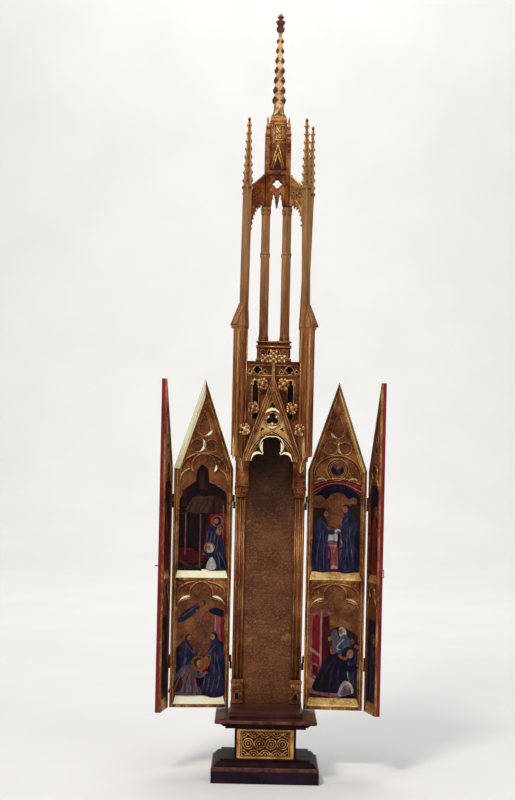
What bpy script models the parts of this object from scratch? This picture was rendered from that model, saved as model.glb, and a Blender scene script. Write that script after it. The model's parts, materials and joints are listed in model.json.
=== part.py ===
# A gilded wooden tower altarpiece, standing open: a moulded base, an empty statue place under a
# canopy with gables, a tall open turret with flying buttresses, and four painted hinged wings.
# Units are metres. +X is the viewer's right, +Y is to the back, +Z is up, and the origin is the
# middle of the plinth's underside.
import math

import bmesh
import bpy
from mathutils import Matrix, Vector

# Clearances
GAP = 0.0003
LAP = 0.0006
WING_CLEARANCE = 0.0006

# Plinth
PLINTH_WIDTH = 0.191
PLINTH_DEPTH = 0.146
PLINTH_FACE_HEIGHT = 0.0206
PLINTH_ROLL_HEIGHT = 0.0079
PLINTH_SLOPE_HEIGHT = 0.0129
PLINTH_INSET = 0.0165

# Die and its carved front panel
DIE_WIDTH = 0.109
DIE_DEPTH = 0.104
DIE_HEIGHT = 0.053
DIE_PANEL_MARGIN = 0.004
DIE_PANEL_BACKING = 0.0018
DIE_PANEL_RELIEF = 0.0022
DIE_PANEL_BORDER = 0.0056
DIE_PANEL_SIDE_BORDER = 0.010
ROSETTES = 4

# Cornice and floor slab
CORNICE_WIDTH = 0.181
CORNICE_DEPTH = 0.150
CORNICE_FILLET_HEIGHT = 0.0042
CORNICE_COVE_HEIGHT = 0.0072
CORNICE_LIP_HEIGHT = 0.0055
CORNICE_SLOPE_HEIGHT = 0.0026
CORNICE_REACH = 0.019
SLAB_FRONT = 0.054
SLAB_HEIGHT = 0.0105

# Back panel and its colonnettes
NICHE_HEIGHT = 0.4444
PANEL_THICKNESS = 0.011
PANEL_FRONT = 0.045
COLONNETTE_WIDTH = 0.0198
COLONNETTE_DEPTH = 0.008
PEDESTAL_HEIGHT = 0.0438
PEDESTAL_REACH = 0.0016
CAPITAL_HEIGHT = 0.0292
CAPITAL_REACH_IN = 0.005
CAPITAL_REACH_OUT = 0.0014
CAPITAL_REACH_FRONT = 0.0042
CAPITAL_BLOCK_HEIGHT = 0.039

# Canopy plan
CANOPY_HALF_WIDTH = 0.051
CANOPY_FRONT = 0.046
POST_WIDTH = 0.0115
POST_DEPTH = 0.024
WALL_THICKNESS = 0.004
WALL_STAND_OFF = 0.002
WALL_RISE = 0.0006
WALL_ARCH_MARGIN = 0.0022
WINDOW_CENTRE = 0.031
WINDOW_HALF_WIDTH = 0.006
WINDOW_SILL_RISE = 0.075
CANOPY_HEIGHT = 0.1773
DECK_THICKNESS = 0.006
GALLERY_HEIGHT = 0.0274
RAIL_HEIGHT = 0.0064
RAIL_REACH = 0.0014
LOWER_RAIL_HEIGHT = 0.003

# Gables
GABLE_THICKNESS = 0.005
GABLE_STAND_OFF = 0.014
GABLE_FOOT_RISE = 0.009
GABLE_APEX_RISE = 0.1546
GABLE_BAR_WIDTH = 0.0105
GABLE_FILL_THICKNESS = 0.0028
ARCH_HALF_WIDTH = 0.0365
ARCH_RISE = 0.0466
ARCH_BAND = 0.0075
ROUNDEL_RISE = 0.0746
ROUNDEL_RADIUS = 0.0166
FINIAL_RISE = 0.199
CROCKETS_PER_RAKE = 3
CROCKET_HALF_WIDTH = 0.010
CROCKET_HALF_HEIGHT = 0.0118

# Corner posts: lower shaft, weathering, upper shaft, pinnacle
BRACKET_DROP = 0.018
BRACKET_RISE = 0.010
LOWER_SHAFT_HEIGHT = 0.2387
WEATHERING_HEIGHT = 0.0403
WEATHERING_OVERHANG = 0.006
WEATHERING_FLARE = 0.002
WEATHERING_EDGE = 0.003
UPPER_SHAFT_DEPTH = 0.011
UPPER_SHAFT_HEIGHT = 0.201
PINNACLE_HEIGHT = 0.129
PINNACLE_KNOP_REACH = 0.0016
PINNACLE_CROCKETS = 8
PINNACLE_CROCKET_REACH = 0.0024
# How far each pinnacle's tip has come out of line, to the viewer's right, since the tower was made
FRONT_LEFT_LEAN = 0.003
FRONT_RIGHT_LEAN = -0.005
BACK_LEFT_LEAN = 0.003
BACK_RIGHT_LEAN = 0.009

# Turret
TURRET_BASE_WIDTH = 0.0628
TURRET_BASE_HEIGHT = 0.0367
TURRET_POST_SPREAD = 0.019
TURRET_POST_RADIUS = 0.008
TURRET_POST_HEIGHT = 0.2387
TURRET_HEAD_HEIGHT = 0.0587
TURRET_HEAD_THICKNESS = 0.0038
FLYER_THICKNESS = 0.005
FLYER_DROP = 0.095
FLYER_TEETH = 6
FLYER_SET_DOWN = 0.001

# Lantern and spire
LANTERN_HEIGHT = 0.104
LANTERN_CORE_WIDTH = 0.030
LANTERN_SPREAD = 0.019
LANTERN_PINNACLE_WIDTH = 0.0088
LANTERN_FOOT_HEIGHT = 0.007
LANTERN_GABLE_RISE = 0.054
LANTERN_GABLE_THICKNESS = 0.004
LANTERN_GABLE_REACH = 0.0024
LANTERN_SLOPE = 0.002
LANTERN_CHAMFER = 0.006
SPIRE_HEIGHT = 0.1887
SPIRE_FOOT_WIDTH = 0.0272
SPIRE_FOOT_HEIGHT = 0.015
SPIRE_WIDTH = 0.0165
SPIRE_TOP_WIDTH = 0.0046
SPIRE_CROCKETS = 7
SPIRE_CROCKET_REACH = 0.0052
SPIRE_KNOB_RADIUS = 0.0078

# Wings
WING_SIDE_CLEARANCE = 0.001
WING_FRONT_CLEARANCE = 0.002
HINGE_REACH = 0.0027
HINGE_SET_BACK = 0.005
WING_SHOULDER_DROP = 0.0186
WING_GABLE_RISE = 0.1616
WING_FRAME_THICKNESS = 0.0037
WING_BOARD_THICKNESS = 0.006
WING_BAR = 0.0105
OUTER_WING_BAR = 0.010
WING_RAKE_BAR = 0.0105
WING_SILL_HEIGHT = 0.0154
WING_BOTTOM_RAIL = 0.0059
WING_MIDDLE_SILL = 0.236
WING_MIDDLE_RAIL = 0.004
WING_TRACERY_THICKNESS = 0.002
TRACERY_LAP = 0.001
TRACERY_CROWN_DROP = 0.003
LOWER_TRACERY_HEIGHT = 0.047
OUTER_TRACERY_HEIGHT = 0.036
OUTER_UPPER_TRACERY_DROP = 0.030
OUTER_UPPER_CROWN_RISE = 0.012
LEFT_INNER_OPEN_DEG = 6.5
RIGHT_INNER_OPEN_DEG = 3.0
LEFT_OUTER_FOLD_DEG = 73.8
RIGHT_OUTER_FOLD_DEG = 72.5

# Hinges, hook and eye
BARREL_RADIUS = 0.0018
BARREL_HEIGHT = 0.025
LEAF_THICKNESS = 0.0009
LEAF_DEPTH = 0.0085
LEAF_OFFSET = 0.0002
LOWER_HINGE_RISE = 0.084
UPPER_HINGE_DROP = 0.0597
LATCH_RISE = 0.262
LATCH_INSET = 0.008
EYE_RADIUS = 0.003
HOOK_LENGTH = 0.014
WIRE_RADIUS = 0.0009

# Levels worked out from the sizes above
plinth_top = PLINTH_FACE_HEIGHT + PLINTH_ROLL_HEIGHT + PLINTH_SLOPE_HEIGHT
die_top = plinth_top + DIE_HEIGHT
cornice_heights = CORNICE_FILLET_HEIGHT + CORNICE_COVE_HEIGHT + CORNICE_LIP_HEIGHT
cornice_top = die_top + cornice_heights + CORNICE_SLOPE_HEIGHT
slab_top = cornice_top + SLAB_HEIGHT
springing = slab_top + NICHE_HEIGHT
gallery_top = springing + CANOPY_HEIGHT
turret_base_top = gallery_top + TURRET_BASE_HEIGHT
turret_post_top = turret_base_top + TURRET_POST_HEIGHT
turret_top = turret_post_top + TURRET_HEAD_HEIGHT
lantern_top = turret_top + LANTERN_HEIGHT
coping_top = springing + LOWER_SHAFT_HEIGHT + WEATHERING_HEIGHT
pinnacle_tip = coping_top + UPPER_SHAFT_HEIGHT + PINNACLE_HEIGHT
panel_back = PANEL_FRONT + PANEL_THICKNESS
canopy_centre_y = (PANEL_FRONT - CANOPY_FRONT) / 2
canopy_half_depth = (PANEL_FRONT + CANOPY_FRONT) / 2
hinge_x = CANOPY_HALF_WIDTH + GABLE_STAND_OFF + WING_SIDE_CLEARANCE
hinge_y = PANEL_FRONT + HINGE_SET_BACK
panel_half_width = hinge_x - HINGE_REACH
slab_half_width = hinge_x - WING_SIDE_CLEARANCE
closed_wing_y = canopy_centre_y - canopy_half_depth - GABLE_STAND_OFF - WING_FRONT_CLEARANCE
wing_width = hinge_y - closed_wing_y
wing_bottom = cornice_top + WING_CLEARANCE
wing_shoulder = springing - WING_SHOULDER_DROP
wing_apex = wing_shoulder + WING_GABLE_RISE
wing_thickness = WING_FRAME_THICKNESS + GAP + WING_BOARD_THICKNESS
outer_wing_width = hinge_x - GAP
wing_edge = BARREL_RADIUS + GAP

parts = bpy.data.collections.new("tower altarpiece")
joining = bpy.data.collections.new("joined shapes")


def material(name, colour, roughness, metallic):
    made = bpy.data.materials.new(name)
    made.use_nodes = True
    shader = made.node_tree.nodes["Principled BSDF"]
    shader.inputs["Base Color"].default_value = (*colour, 1)
    shader.inputs["Roughness"].default_value = roughness
    shader.inputs["Metallic"].default_value = metallic
    return made


def mesh_of(bm):
    bmesh.ops.recalc_face_normals(bm, faces=bm.faces)
    mesh = bpy.data.meshes.new("shape")
    bm.to_mesh(mesh)
    bm.free()
    return mesh


def loft(rings):
    """A closed body through rings of points, capped at both ends. Each ring has as many points as
    the one before it, twice as many or half as many."""
    bm = bmesh.new()
    rows = [[bm.verts.new(point) for point in ring] for ring in rings]
    for low, high in zip(rows, rows[1:]):
        few, many = sorted((low, high), key=len)
        step = len(many) // len(few)
        for i in range(len(few)):
            j = (i + 1) % len(few)
            run = [many[(i * step + k) % len(many)] for k in range(step + 1)]
            if step == 1:
                bm.faces.new((few[i], few[j], run[1], run[0]))
            else:
                bm.faces.new((few[i], run[1], run[0]))
                bm.faces.new((few[i], few[j], run[1]))
                bm.faces.new((few[j], run[2], run[1]))
    bm.faces.new(rows[0])
    bm.faces.new(rows[-1])
    return mesh_of(bm)


def rectangle(x, y, z, half_x, half_y):
    corners = ((-1, -1), (1, -1), (1, 1), (-1, 1))
    return [(x + sx * half_x, y + sy * half_y, z) for sx, sy in corners]


def stack(sections, x=0.0, y=0.0):
    """Rectangular sections (height, half width, half depth) joined from the bottom up."""
    return loft([rectangle(x, y, z, half_x, half_y) for z, half_x, half_y in sections])


def box(low, high):
    bm = bmesh.new()
    bmesh.ops.create_cube(bm, size=1)
    size = [b - a for a, b in zip(low, high)]
    middle = [(a + b) / 2 for a, b in zip(low, high)]
    bmesh.ops.scale(bm, vec=size, verts=bm.verts)
    bmesh.ops.translate(bm, vec=middle, verts=bm.verts)
    return mesh_of(bm)


def cylinder(radius, z_low, z_high, sides=6):
    bm = bmesh.new()
    bmesh.ops.create_cone(
        bm, cap_ends=True, segments=sides, radius1=radius, radius2=radius, depth=z_high - z_low
    )
    bmesh.ops.translate(bm, vec=(0, 0, (z_low + z_high) / 2), verts=bm.verts)
    return mesh_of(bm)


def plate(loops, thickness):
    """A flat outline with holes, filled and given a thickness, in the XY plane about z = 0."""
    curve = bpy.data.curves.new("outline", "CURVE")
    curve.dimensions = "2D"
    curve.fill_mode = "BOTH"
    curve.extrude = thickness / 2
    for loop in loops:
        spline = curve.splines.new("POLY")
        spline.points.add(len(loop) - 1)
        for point, (x, y) in zip(spline.points, loop):
            point.co = (x, y, 0, 1)
        spline.use_cyclic_u = True
    holder = bpy.data.objects.new("outline", curve)
    bpy.context.scene.collection.objects.link(holder)
    evaluated = holder.evaluated_get(bpy.context.evaluated_depsgraph_get())
    mesh = bpy.data.meshes.new_from_object(evaluated)
    bpy.data.objects.remove(holder)
    bm = bmesh.new()
    bm.from_mesh(mesh)
    bmesh.ops.remove_doubles(bm, verts=bm.verts, dist=1e-6)
    return mesh_of(bm)


def upright(loops, front, thickness, turn=0.0, centre=(0.0, 0.0)):
    """A standing plate: outline x to the right, y up, its face at `front` before the centre."""
    mesh = plate(loops, thickness)
    stand = Matrix.Rotation(math.radians(90), 4, "X")
    out = Matrix.Translation((0, -front + thickness / 2, 0))
    place = Matrix.Translation((*centre, 0)) @ Matrix.Rotation(turn, 4, "Z")
    mesh.transform(place @ out @ stand)
    return mesh


def moved(mesh, matrix):
    copy = mesh.copy()
    copy.transform(matrix)
    return copy


def merged(meshes):
    """Shapes that don't touch each other, as one mesh."""
    bm = bmesh.new()
    for mesh in meshes:
        bm.from_mesh(mesh)
    return mesh_of(bm)


def solid(name, shapes, finish, parent=None, solver="EXACT"):
    """One piece: the first shape, with the others joined to it."""
    piece = bpy.data.objects.new(name, shapes[0])
    piece.data.name = name
    piece.data.materials.append(finish)
    parts.objects.link(piece)
    piece.parent = parent
    for number, shape in enumerate(shapes[1:]):
        other = bpy.data.objects.new(f"{name} shape {number + 1}", shape)
        other.display_type = "WIRE"
        other.hide_render = True
        other.parent = parent
        joining.objects.link(other)
        union = piece.modifiers.new("join", "BOOLEAN")
        union.operation = "UNION"
        union.solver = solver
        union.object = other
    return piece


def pivot(name, x, y, angle, parent=None):
    """An empty on a joint's axis, turned to the rest position."""
    empty = bpy.data.objects.new(name, None)
    empty.location = (x, y, 0)
    empty.rotation_euler = (0, 0, math.radians(angle))
    empty.parent = parent
    parts.objects.link(empty)
    return empty


def bow(start, end, bulge, steps):
    """An arc from start up to, but without, end; bulge is its height as a share of the chord,
    to the left of the way it runs."""
    start = Vector(start)
    chord = Vector(end) - start
    side = Vector((-chord.y, chord.x))
    if not bulge:
        return [tuple(start)]
    half = 2 * math.atan(2 * bulge)
    points = []
    for step in range(steps):
        turn = half - 2 * half * step / steps
        along = 0.5 - math.sin(turn) / (2 * math.sin(half))
        across = (math.cos(turn) - math.cos(half)) / (2 * math.sin(half))
        points.append(tuple(start + chord * along + side * across))
    return points


def sprung(start, end):
    """The bulge of an arc that leaves its start upright and runs up and inwards to its end."""
    lean = math.atan2(abs(start[0] - end[0]), end[1] - start[1])
    return -math.tan(lean / 2) / 2


def path(start, *runs):
    """An outline from runs of (end, bulge, steps)."""
    points = []
    for end, bulge, steps in runs:
        points += bow(start, end, bulge, steps)
        start = end
    return points


def foils(x, y, reach, lobe, count, steps, turn=90.0):
    """The outline of a trefoil or quatrefoil: lobes of one radius about a centre."""
    points = []
    half = math.pi / count
    cusp = reach * math.cos(half) + math.sqrt(lobe**2 - (reach * math.sin(half)) ** 2)
    sweep = math.atan2(cusp * math.sin(half), cusp * math.cos(half) - reach)
    for number in range(count):
        middle = math.radians(turn) + 2 * half * number
        centre_x = x + reach * math.cos(middle)
        centre_y = y + reach * math.sin(middle)
        for step in range(steps):
            angle = middle - sweep + 2 * sweep * step / steps
            points.append((centre_x + lobe * math.cos(angle), centre_y + lobe * math.sin(angle)))
    return points


def circle(x, y, radius, sides):
    angles = [2 * math.pi * (i + 0.5) / sides for i in range(sides)]
    return [(x + radius * math.cos(a), y + radius * math.sin(a)) for a in angles]


def mirrored(points):
    """The right half of an outline, bottom to top, followed by its left half, top to bottom."""
    left = [(-x, y) for x, y in reversed(points) if abs(x) > 1e-9]
    return points + left


def leaf_cluster(half_width, half_height, half_depth):
    """A crocket's broad shape: a faceted ball."""
    bm = bmesh.new()
    bmesh.ops.create_uvsphere(bm, u_segments=6, v_segments=3, radius=1)
    bmesh.ops.scale(bm, vec=(half_width, half_depth, half_height), verts=bm.verts)
    return mesh_of(bm)


def build_base(dark, gilt):
    half_x = PLINTH_WIDTH / 2
    half_y = PLINTH_DEPTH / 2
    roll_bottom = PLINTH_FACE_HEIGHT
    slope_bottom = roll_bottom + PLINTH_ROLL_HEIGHT
    # Height and inset as shares of each moulding's own size
    roll = ((0, 0.12), (0.15, 0.05), (0.5, 0.0), (0.85, 0.07), (1.0, 0.16))
    slope = ((0.1, 0.34), (0.5, 0.6), (0.62, 0.68), (0.68, 1.0), (1.0, 1.0))
    sections = [(0, half_x, half_y), (PLINTH_FACE_HEIGHT, half_x, half_y)]
    for rise, inset in roll:
        z = roll_bottom + rise * PLINTH_ROLL_HEIGHT
        sections.append((z, half_x - inset * PLINTH_INSET, half_y - inset * PLINTH_INSET))
    for rise, inset in slope:
        z = slope_bottom + rise * PLINTH_SLOPE_HEIGHT
        sections.append((z, half_x - inset * PLINTH_INSET, half_y - inset * PLINTH_INSET))
    solid("plinth", [stack(sections)], dark)

    die_low = (-DIE_WIDTH / 2, -DIE_DEPTH / 2, plinth_top + GAP)
    die_high = (DIE_WIDTH / 2, DIE_DEPTH / 2, die_top)
    solid("die", [box(die_low, die_high)], dark)
    build_die_panel(gilt)

    half_x = CORNICE_WIDTH / 2
    half_y = CORNICE_DEPTH / 2
    cove_bottom = die_top + CORNICE_FILLET_HEIGHT
    lip_bottom = cove_bottom + CORNICE_COVE_HEIGHT
    lip_top = lip_bottom + CORNICE_LIP_HEIGHT
    cove = ((0, 1.0), (0.04, 0.8), (0.3, 0.62), (0.7, 0.52), (0.76, 0.3), (1.0, 0.0))
    sections = [(die_top + GAP, half_x - CORNICE_REACH, half_y - CORNICE_REACH)]
    for rise, inset in cove:
        z = cove_bottom + rise * CORNICE_COVE_HEIGHT
        sections.append((z, half_x - inset * CORNICE_REACH, half_y - inset * CORNICE_REACH))
    sections.append((lip_top, half_x, half_y))
    sections.append((cornice_top, slab_half_width, panel_back + GAP))
    solid("cornice", [stack(sections)], dark)

    low = (-slab_half_width, -SLAB_FRONT, cornice_top + GAP)
    high = (slab_half_width, panel_back, slab_top)
    solid("floor_slab", [box(low, high)], dark)


def build_die_panel(gilt):
    """A framed gilt panel: a row of rosettes linked by crossings, half circles above and below."""
    half_width = DIE_WIDTH / 2 - DIE_PANEL_MARGIN
    low = plinth_top + 2 * GAP
    high = die_top - GAP
    middle = (low + high) / 2
    back = DIE_DEPTH / 2 + GAP
    ground = back + DIE_PANEL_BACKING
    front = ground + DIE_PANEL_RELIEF
    inner_half = half_width - DIE_PANEL_SIDE_BORDER
    inner_low = low + DIE_PANEL_BORDER
    inner_high = high - DIE_PANEL_BORDER

    def rect(x, z0, z1):
        return [(-x, z0), (x, z0), (x, z1), (-x, z1)]

    backing = upright([rect(half_width, low, high)], ground, DIE_PANEL_BACKING)
    border = [rect(half_width - GAP, low + GAP, high - GAP), rect(inner_half, inner_low, inner_high)]
    shapes = [backing, upright(border, front, DIE_PANEL_RELIEF + LAP)]
    pitch = 2 * inner_half / ROSETTES
    radius = 0.46 * min(pitch, inner_high - inner_low)
    rosettes = []
    for number in range(ROSETTES):
        x = -inner_half + (number + 0.5) * pitch
        rosettes.append(rosette(x, middle, ground, radius, DIE_PANEL_RELIEF))
    shapes.append(merged(rosettes))
    links = []
    for number in range(1, ROSETTES):
        x = -inner_half + number * pitch
        lower = mirrored([(radius * 0.75, inner_low - LAP), (radius * 0.5, inner_low + radius * 0.6)])
        upper = [(px, inner_low + inner_high - pz) for px, pz in lower]
        for outline in (lower, list(reversed(upper))):
            shifted = [(px + x, pz) for px, pz in outline]
            links.append(upright([shifted], ground + DIE_PANEL_RELIEF * 0.6, DIE_PANEL_RELIEF))
    shapes.append(merged(links))
    solid("die_front_panel", shapes, gilt)


def rosette(x, z, ground, radius, relief):
    """A disc with a sunk ring and a boss, turned about the viewing direction."""
    rings = []
    for share, height in ((1.0, -0.3), (1.0, 0.7), (0.6, 0.2), (0.34, 1.0)):
        reach = ground + height * relief
        rings.append([(px, -reach, pz) for px, pz in circle(x, z, share * radius, 6)])
    return loft(rings)


def build_back(gilt_panel, gilt):
    half = panel_half_width
    upper_half = CANOPY_HALF_WIDTH - POST_WIDTH / math.sqrt(8) - GAP
    shoulder = springing - GAP
    outline = mirrored(
        [(half, slab_top + GAP), (half, shoulder), (upper_half, shoulder), (upper_half, gallery_top)]
    )
    shape = upright([outline], -PANEL_FRONT, PANEL_THICKNESS)
    solid("back_panel", [shape], gilt_panel)
    for side, word in ((-1, "left"), (1, "right")):
        build_colonnette(f"colonnette_{word}", side, gilt)


def build_colonnette(name, side, gilt):
    """A cluster of rolls on a pedestal, with a capital and a block that meets the canopy."""
    back = PANEL_FRONT - GAP
    front = back - COLONNETTE_DEPTH
    middle = panel_half_width - COLONNETTE_WIDTH / 2
    half = COLONNETTE_WIDTH / 2
    bottom = slab_top + GAP
    top = springing - GAP
    # The plan: a middle roll between hollows and two corner rolls, as shares of the width
    shaft_back = back - LAP
    plan = [(-half, shaft_back)]
    plan += bow((-half, front + half * 0.35), (-half * 0.55, front + half * 0.3), -0.5, 2)
    plan += [(-half * 0.5, front + half * 0.55)]
    plan += bow((-half * 0.38, front + half * 0.3), (half * 0.38, front + half * 0.3), -0.4, 3)
    plan += [(half * 0.38, front + half * 0.3), (half * 0.5, front + half * 0.55)]
    plan += bow((half * 0.55, front + half * 0.3), (half, front + half * 0.35), -0.5, 2)
    plan += [(half, front + half * 0.35), (half, shaft_back)]
    shaft = plate([plan], top - bottom - 2 * LAP)
    shaft.transform(Matrix.Translation((side * middle, 0, (top + bottom) / 2)))
    y = (front + back) / 2
    half_y = COLONNETTE_DEPTH / 2

    def turned(profile, reach_in, reach_out, reach_front):
        rings = []
        for z, share in profile:
            outer = side * (middle + half + share * reach_out)
            inner = side * (middle - half - share * reach_in)
            low, high = sorted((inner, outer))
            depth = half_y + share * reach_front / 2
            ring = rectangle((low + high) / 2, back - depth, z, (high - low) / 2, depth)
            rings.append(ring)
        return loft(rings)

    pedestal = ((0, 1), (0.06, 1), (0.1, 0.4), (0.42, 0.4), (0.47, 1), (0.53, 1), (0.58, 0.4),
                (0.88, 0.4), (0.93, 0.9), (1, 0.6))
    capital = ((0, 0.1), (0.06, 0.5), (0.14, 0.5), (0.2, 0.1), (0.5, 0.45), (0.66, 0.75),
               (0.7, 1.0), (0.8, 1.0), (0.84, 0.75), (0.9, 0.95), (1, 0.95))
    capital_bottom = top - CAPITAL_BLOCK_HEIGHT - CAPITAL_HEIGHT
    reach = (CAPITAL_REACH_IN, CAPITAL_REACH_OUT, CAPITAL_REACH_FRONT)
    pedestal = [(bottom + rise * PEDESTAL_HEIGHT, share) for rise, share in pedestal]
    capital = [(capital_bottom + rise * CAPITAL_HEIGHT, share) for rise, share in capital]
    block = [(capital_bottom + CAPITAL_HEIGHT * 1.02, 0.7), (top, 0.7)]
    foot = turned(pedestal, PEDESTAL_REACH, PEDESTAL_REACH, 2 * PEDESTAL_REACH)
    solid(name, [shaft, foot, turned(capital + block, *reach)], gilt)


def gable(name, half_side, half_across, turn, gilt):
    """One gable of the canopy: rakes, a cusped arch, a roundel, crockets and a finial. It stands
    before a side of the canopy that lies half_across from the middle and is 2 half_side long."""
    centre = (0.0, canopy_centre_y)
    front = half_across + GABLE_STAND_OFF
    half_foot = half_side + GABLE_STAND_OFF - GABLE_THICKNESS - POST_WIDTH / math.sqrt(2) - 2 * GAP
    foot = springing + GABLE_FOOT_RISE
    apex = springing + GABLE_APEX_RISE
    crown = springing + ARCH_RISE
    half = ARCH_HALF_WIDTH
    slope = (apex - foot) / half_foot
    lean = math.sqrt(1 + slope**2)
    inner_apex = apex - GABLE_BAR_WIDTH * lean
    outer = [(half_foot, springing), (half_foot, foot), (0, apex)]
    outer += [(-half_foot, foot), (-half_foot, springing)]

    # The arch is a plain pointed one in the thick bars, with a cusped trefoil head in the fill
    arch = mirrored(bow((half, springing), (0, crown), -0.13, 4) + [(0, crown)])
    lobe_end = (half * 0.38, springing + ARCH_RISE * 0.29)
    cusp = (half * 0.37, springing + ARCH_RISE * 0.33)
    head = [(half - LAP, springing + LAP)]
    lobe = sprung(head[0], lobe_end)
    head = path(head[0], (lobe_end, lobe, 3), (cusp, 0, 1), ((0, crown - LAP), -0.38, 4))
    head = mirrored(head + [(0, crown - LAP)])
    top_of_band = (0, crown + ARCH_BAND * 1.15)
    band = bow((half + ARCH_BAND * 0.4, springing + ARCH_BAND), top_of_band, -0.12, 4)
    band = [(x, z) for x, z in band if x < (inner_apex - z) / slope - LAP] + [top_of_band]
    band.insert(0, ((inner_apex - band[0][1]) / slope, band[0][1]))
    spandrel = [(0, inner_apex)] + mirrored(band)[::-1]
    within = [(half_foot - LAP, springing + LAP), (half_foot - LAP, foot - LAP), (0, apex - LAP * lean)]
    within += [(-half_foot + LAP, foot - LAP), (-half_foot + LAP, springing + LAP)]
    bars = upright([outer + arch[::-1], spandrel], front, GABLE_THICKNESS, turn, centre)

    roundel = springing + ROUNDEL_RISE
    eyelet = [(half * 0.56, 0.4), (half * 0.8, 0.35), (half * 0.64, 0.52)]
    right_eyelet = [(x, springing + ARCH_RISE * share) for x, share in eyelet]
    left_eyelet = [(-x, z) for x, z in right_eyelet]
    trefoil = foils(0, roundel, ROUNDEL_RADIUS * 0.42, ROUNDEL_RADIUS * 0.38, 3, 3)
    light = roundel + ROUNDEL_RADIUS * 1.5
    top_light = foils(0, light, ROUNDEL_RADIUS * 0.15, ROUNDEL_RADIUS * 0.15, 3, 2)
    fill_front = front - GABLE_THICKNESS + GABLE_FILL_THICKNESS + LAP
    holes = [trefoil, top_light, right_eyelet, left_eyelet]
    fill = upright([within + head[::-1], *holes], fill_front, GABLE_FILL_THICKNESS, turn, centre)
    rim = [circle(0, roundel, ROUNDEL_RADIUS, 8), circle(0, roundel, ROUNDEL_RADIUS * 0.76, 8)]
    ring = upright(rim, front - GAP, GABLE_THICKNESS - 2 * GAP, turn, centre)

    middle = front - GABLE_THICKNESS / 2
    place = Matrix.Translation((*centre, 0)) @ Matrix.Rotation(turn, 4, "Z")
    leaf = leaf_cluster(CROCKET_HALF_WIDTH, CROCKET_HALF_HEIGHT, GABLE_THICKNESS * 0.64)
    leaves = []
    for number in range(CROCKETS_PER_RAKE):
        x = half_foot * (0.15 + 0.51 * number / (CROCKETS_PER_RAKE - 1))
        z = apex - slope * x + CROCKET_HALF_WIDTH * 0.75 / lean
        reach = x + CROCKET_HALF_WIDTH * 0.75 * slope / lean
        for side in (-1, 1):
            leaves.append(moved(leaf, place @ Matrix.Translation((side * reach, -middle, z))))
    finial_top = springing + FINIAL_RISE
    stem_half = GABLE_BAR_WIDTH * 0.36
    stem_top = finial_top - CROCKET_HALF_WIDTH * 1.2
    stem = [(-stem_half, inner_apex), (stem_half, inner_apex), (stem_half, stem_top), (-stem_half, stem_top)]
    stem = upright([stem], front - GAP, GABLE_THICKNESS - 2 * GAP, turn, centre)
    wide = leaf_cluster(CROCKET_HALF_WIDTH * 1.75, CROCKET_HALF_WIDTH * 0.85, GABLE_THICKNESS)
    bud = leaf_cluster(CROCKET_HALF_WIDTH * 0.8, CROCKET_HALF_WIDTH * 0.9, GABLE_THICKNESS * 0.9)
    wide_z = finial_top - CROCKET_HALF_WIDTH * 1.65
    bud_z = finial_top - CROCKET_HALF_WIDTH * 0.9
    finial = [
        moved(wide, place @ Matrix.Translation((0, -middle, wide_z))),
        moved(bud, place @ Matrix.Translation((0, -middle, bud_z))),
    ]
    solid(name, [bars, fill, ring, merged(leaves), stem, *finial], gilt, solver="MANIFOLD")


def canopy_wall(name, half_side, half_across, turn, gilt):
    """A wall behind a gable: two lancet windows under a gallery of pierced tracery."""
    centre = (0.0, canopy_centre_y)
    front = half_across + WALL_STAND_OFF
    half = half_side - WALL_STAND_OFF - GAP
    bottom = springing + WALL_RISE
    band_bottom = gallery_top - GALLERY_HEIGHT
    window_top = band_bottom - WINDOW_HALF_WIDTH
    window_spring = window_top - WINDOW_HALF_WIDTH * 1.8
    arch_half = ARCH_HALF_WIDTH + WALL_ARCH_MARGIN
    arch_top = springing + ARCH_RISE + WALL_ARCH_MARGIN
    arch = mirrored(bow((arch_half, bottom), (0, arch_top), -0.13, 2) + [(0, arch_top)])
    loops = [[(half, bottom), (half, gallery_top), (-half, gallery_top), (-half, bottom)] + arch[::-1]]
    tracery_middle = band_bottom + (GALLERY_HEIGHT - RAIL_HEIGHT) * 0.56
    for side in (-1, 1):
        right = [(WINDOW_HALF_WIDTH, springing + WINDOW_SILL_RISE)]
        right += path(
            (WINDOW_HALF_WIDTH, window_spring),
            ((WINDOW_HALF_WIDTH * 0.5, window_spring + WINDOW_HALF_WIDTH * 0.5), -0.25, 1),
            ((0, window_top), -0.3, 2),
        )
        window = mirrored(right + [(0, window_top)])
        loops.append([(x + side * WINDOW_CENTRE, z) for x, z in window])
        radius = (GALLERY_HEIGHT - RAIL_HEIGHT) * 0.19
        loops.append(foils(side * WINDOW_CENTRE * 0.92, tracery_middle, radius, radius, 4, 3, side * 2.0))
        small = radius * 0.55
        low = tracery_middle - radius
        loops.append(foils(side * WINDOW_CENTRE * 0.5, low, small, small, 3, 2, 90 + side * 5.0))
    wall = upright(loops, front, WALL_THICKNESS, turn, centre)
    rails = []
    reach = half - RAIL_REACH - LAP
    upper_rail = (gallery_top - RAIL_HEIGHT, gallery_top - GAP)
    lower_rail = (band_bottom - LOWER_RAIL_HEIGHT, band_bottom)
    for low, high in (upper_rail, lower_rail):
        outline = [(-reach, low), (reach, low), (reach, high), (-reach, high)]
        rails.append(upright([outline], front + RAIL_REACH, WALL_THICKNESS, turn, centre))
    solid(name, [wall, merged(rails)], gilt)


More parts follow.
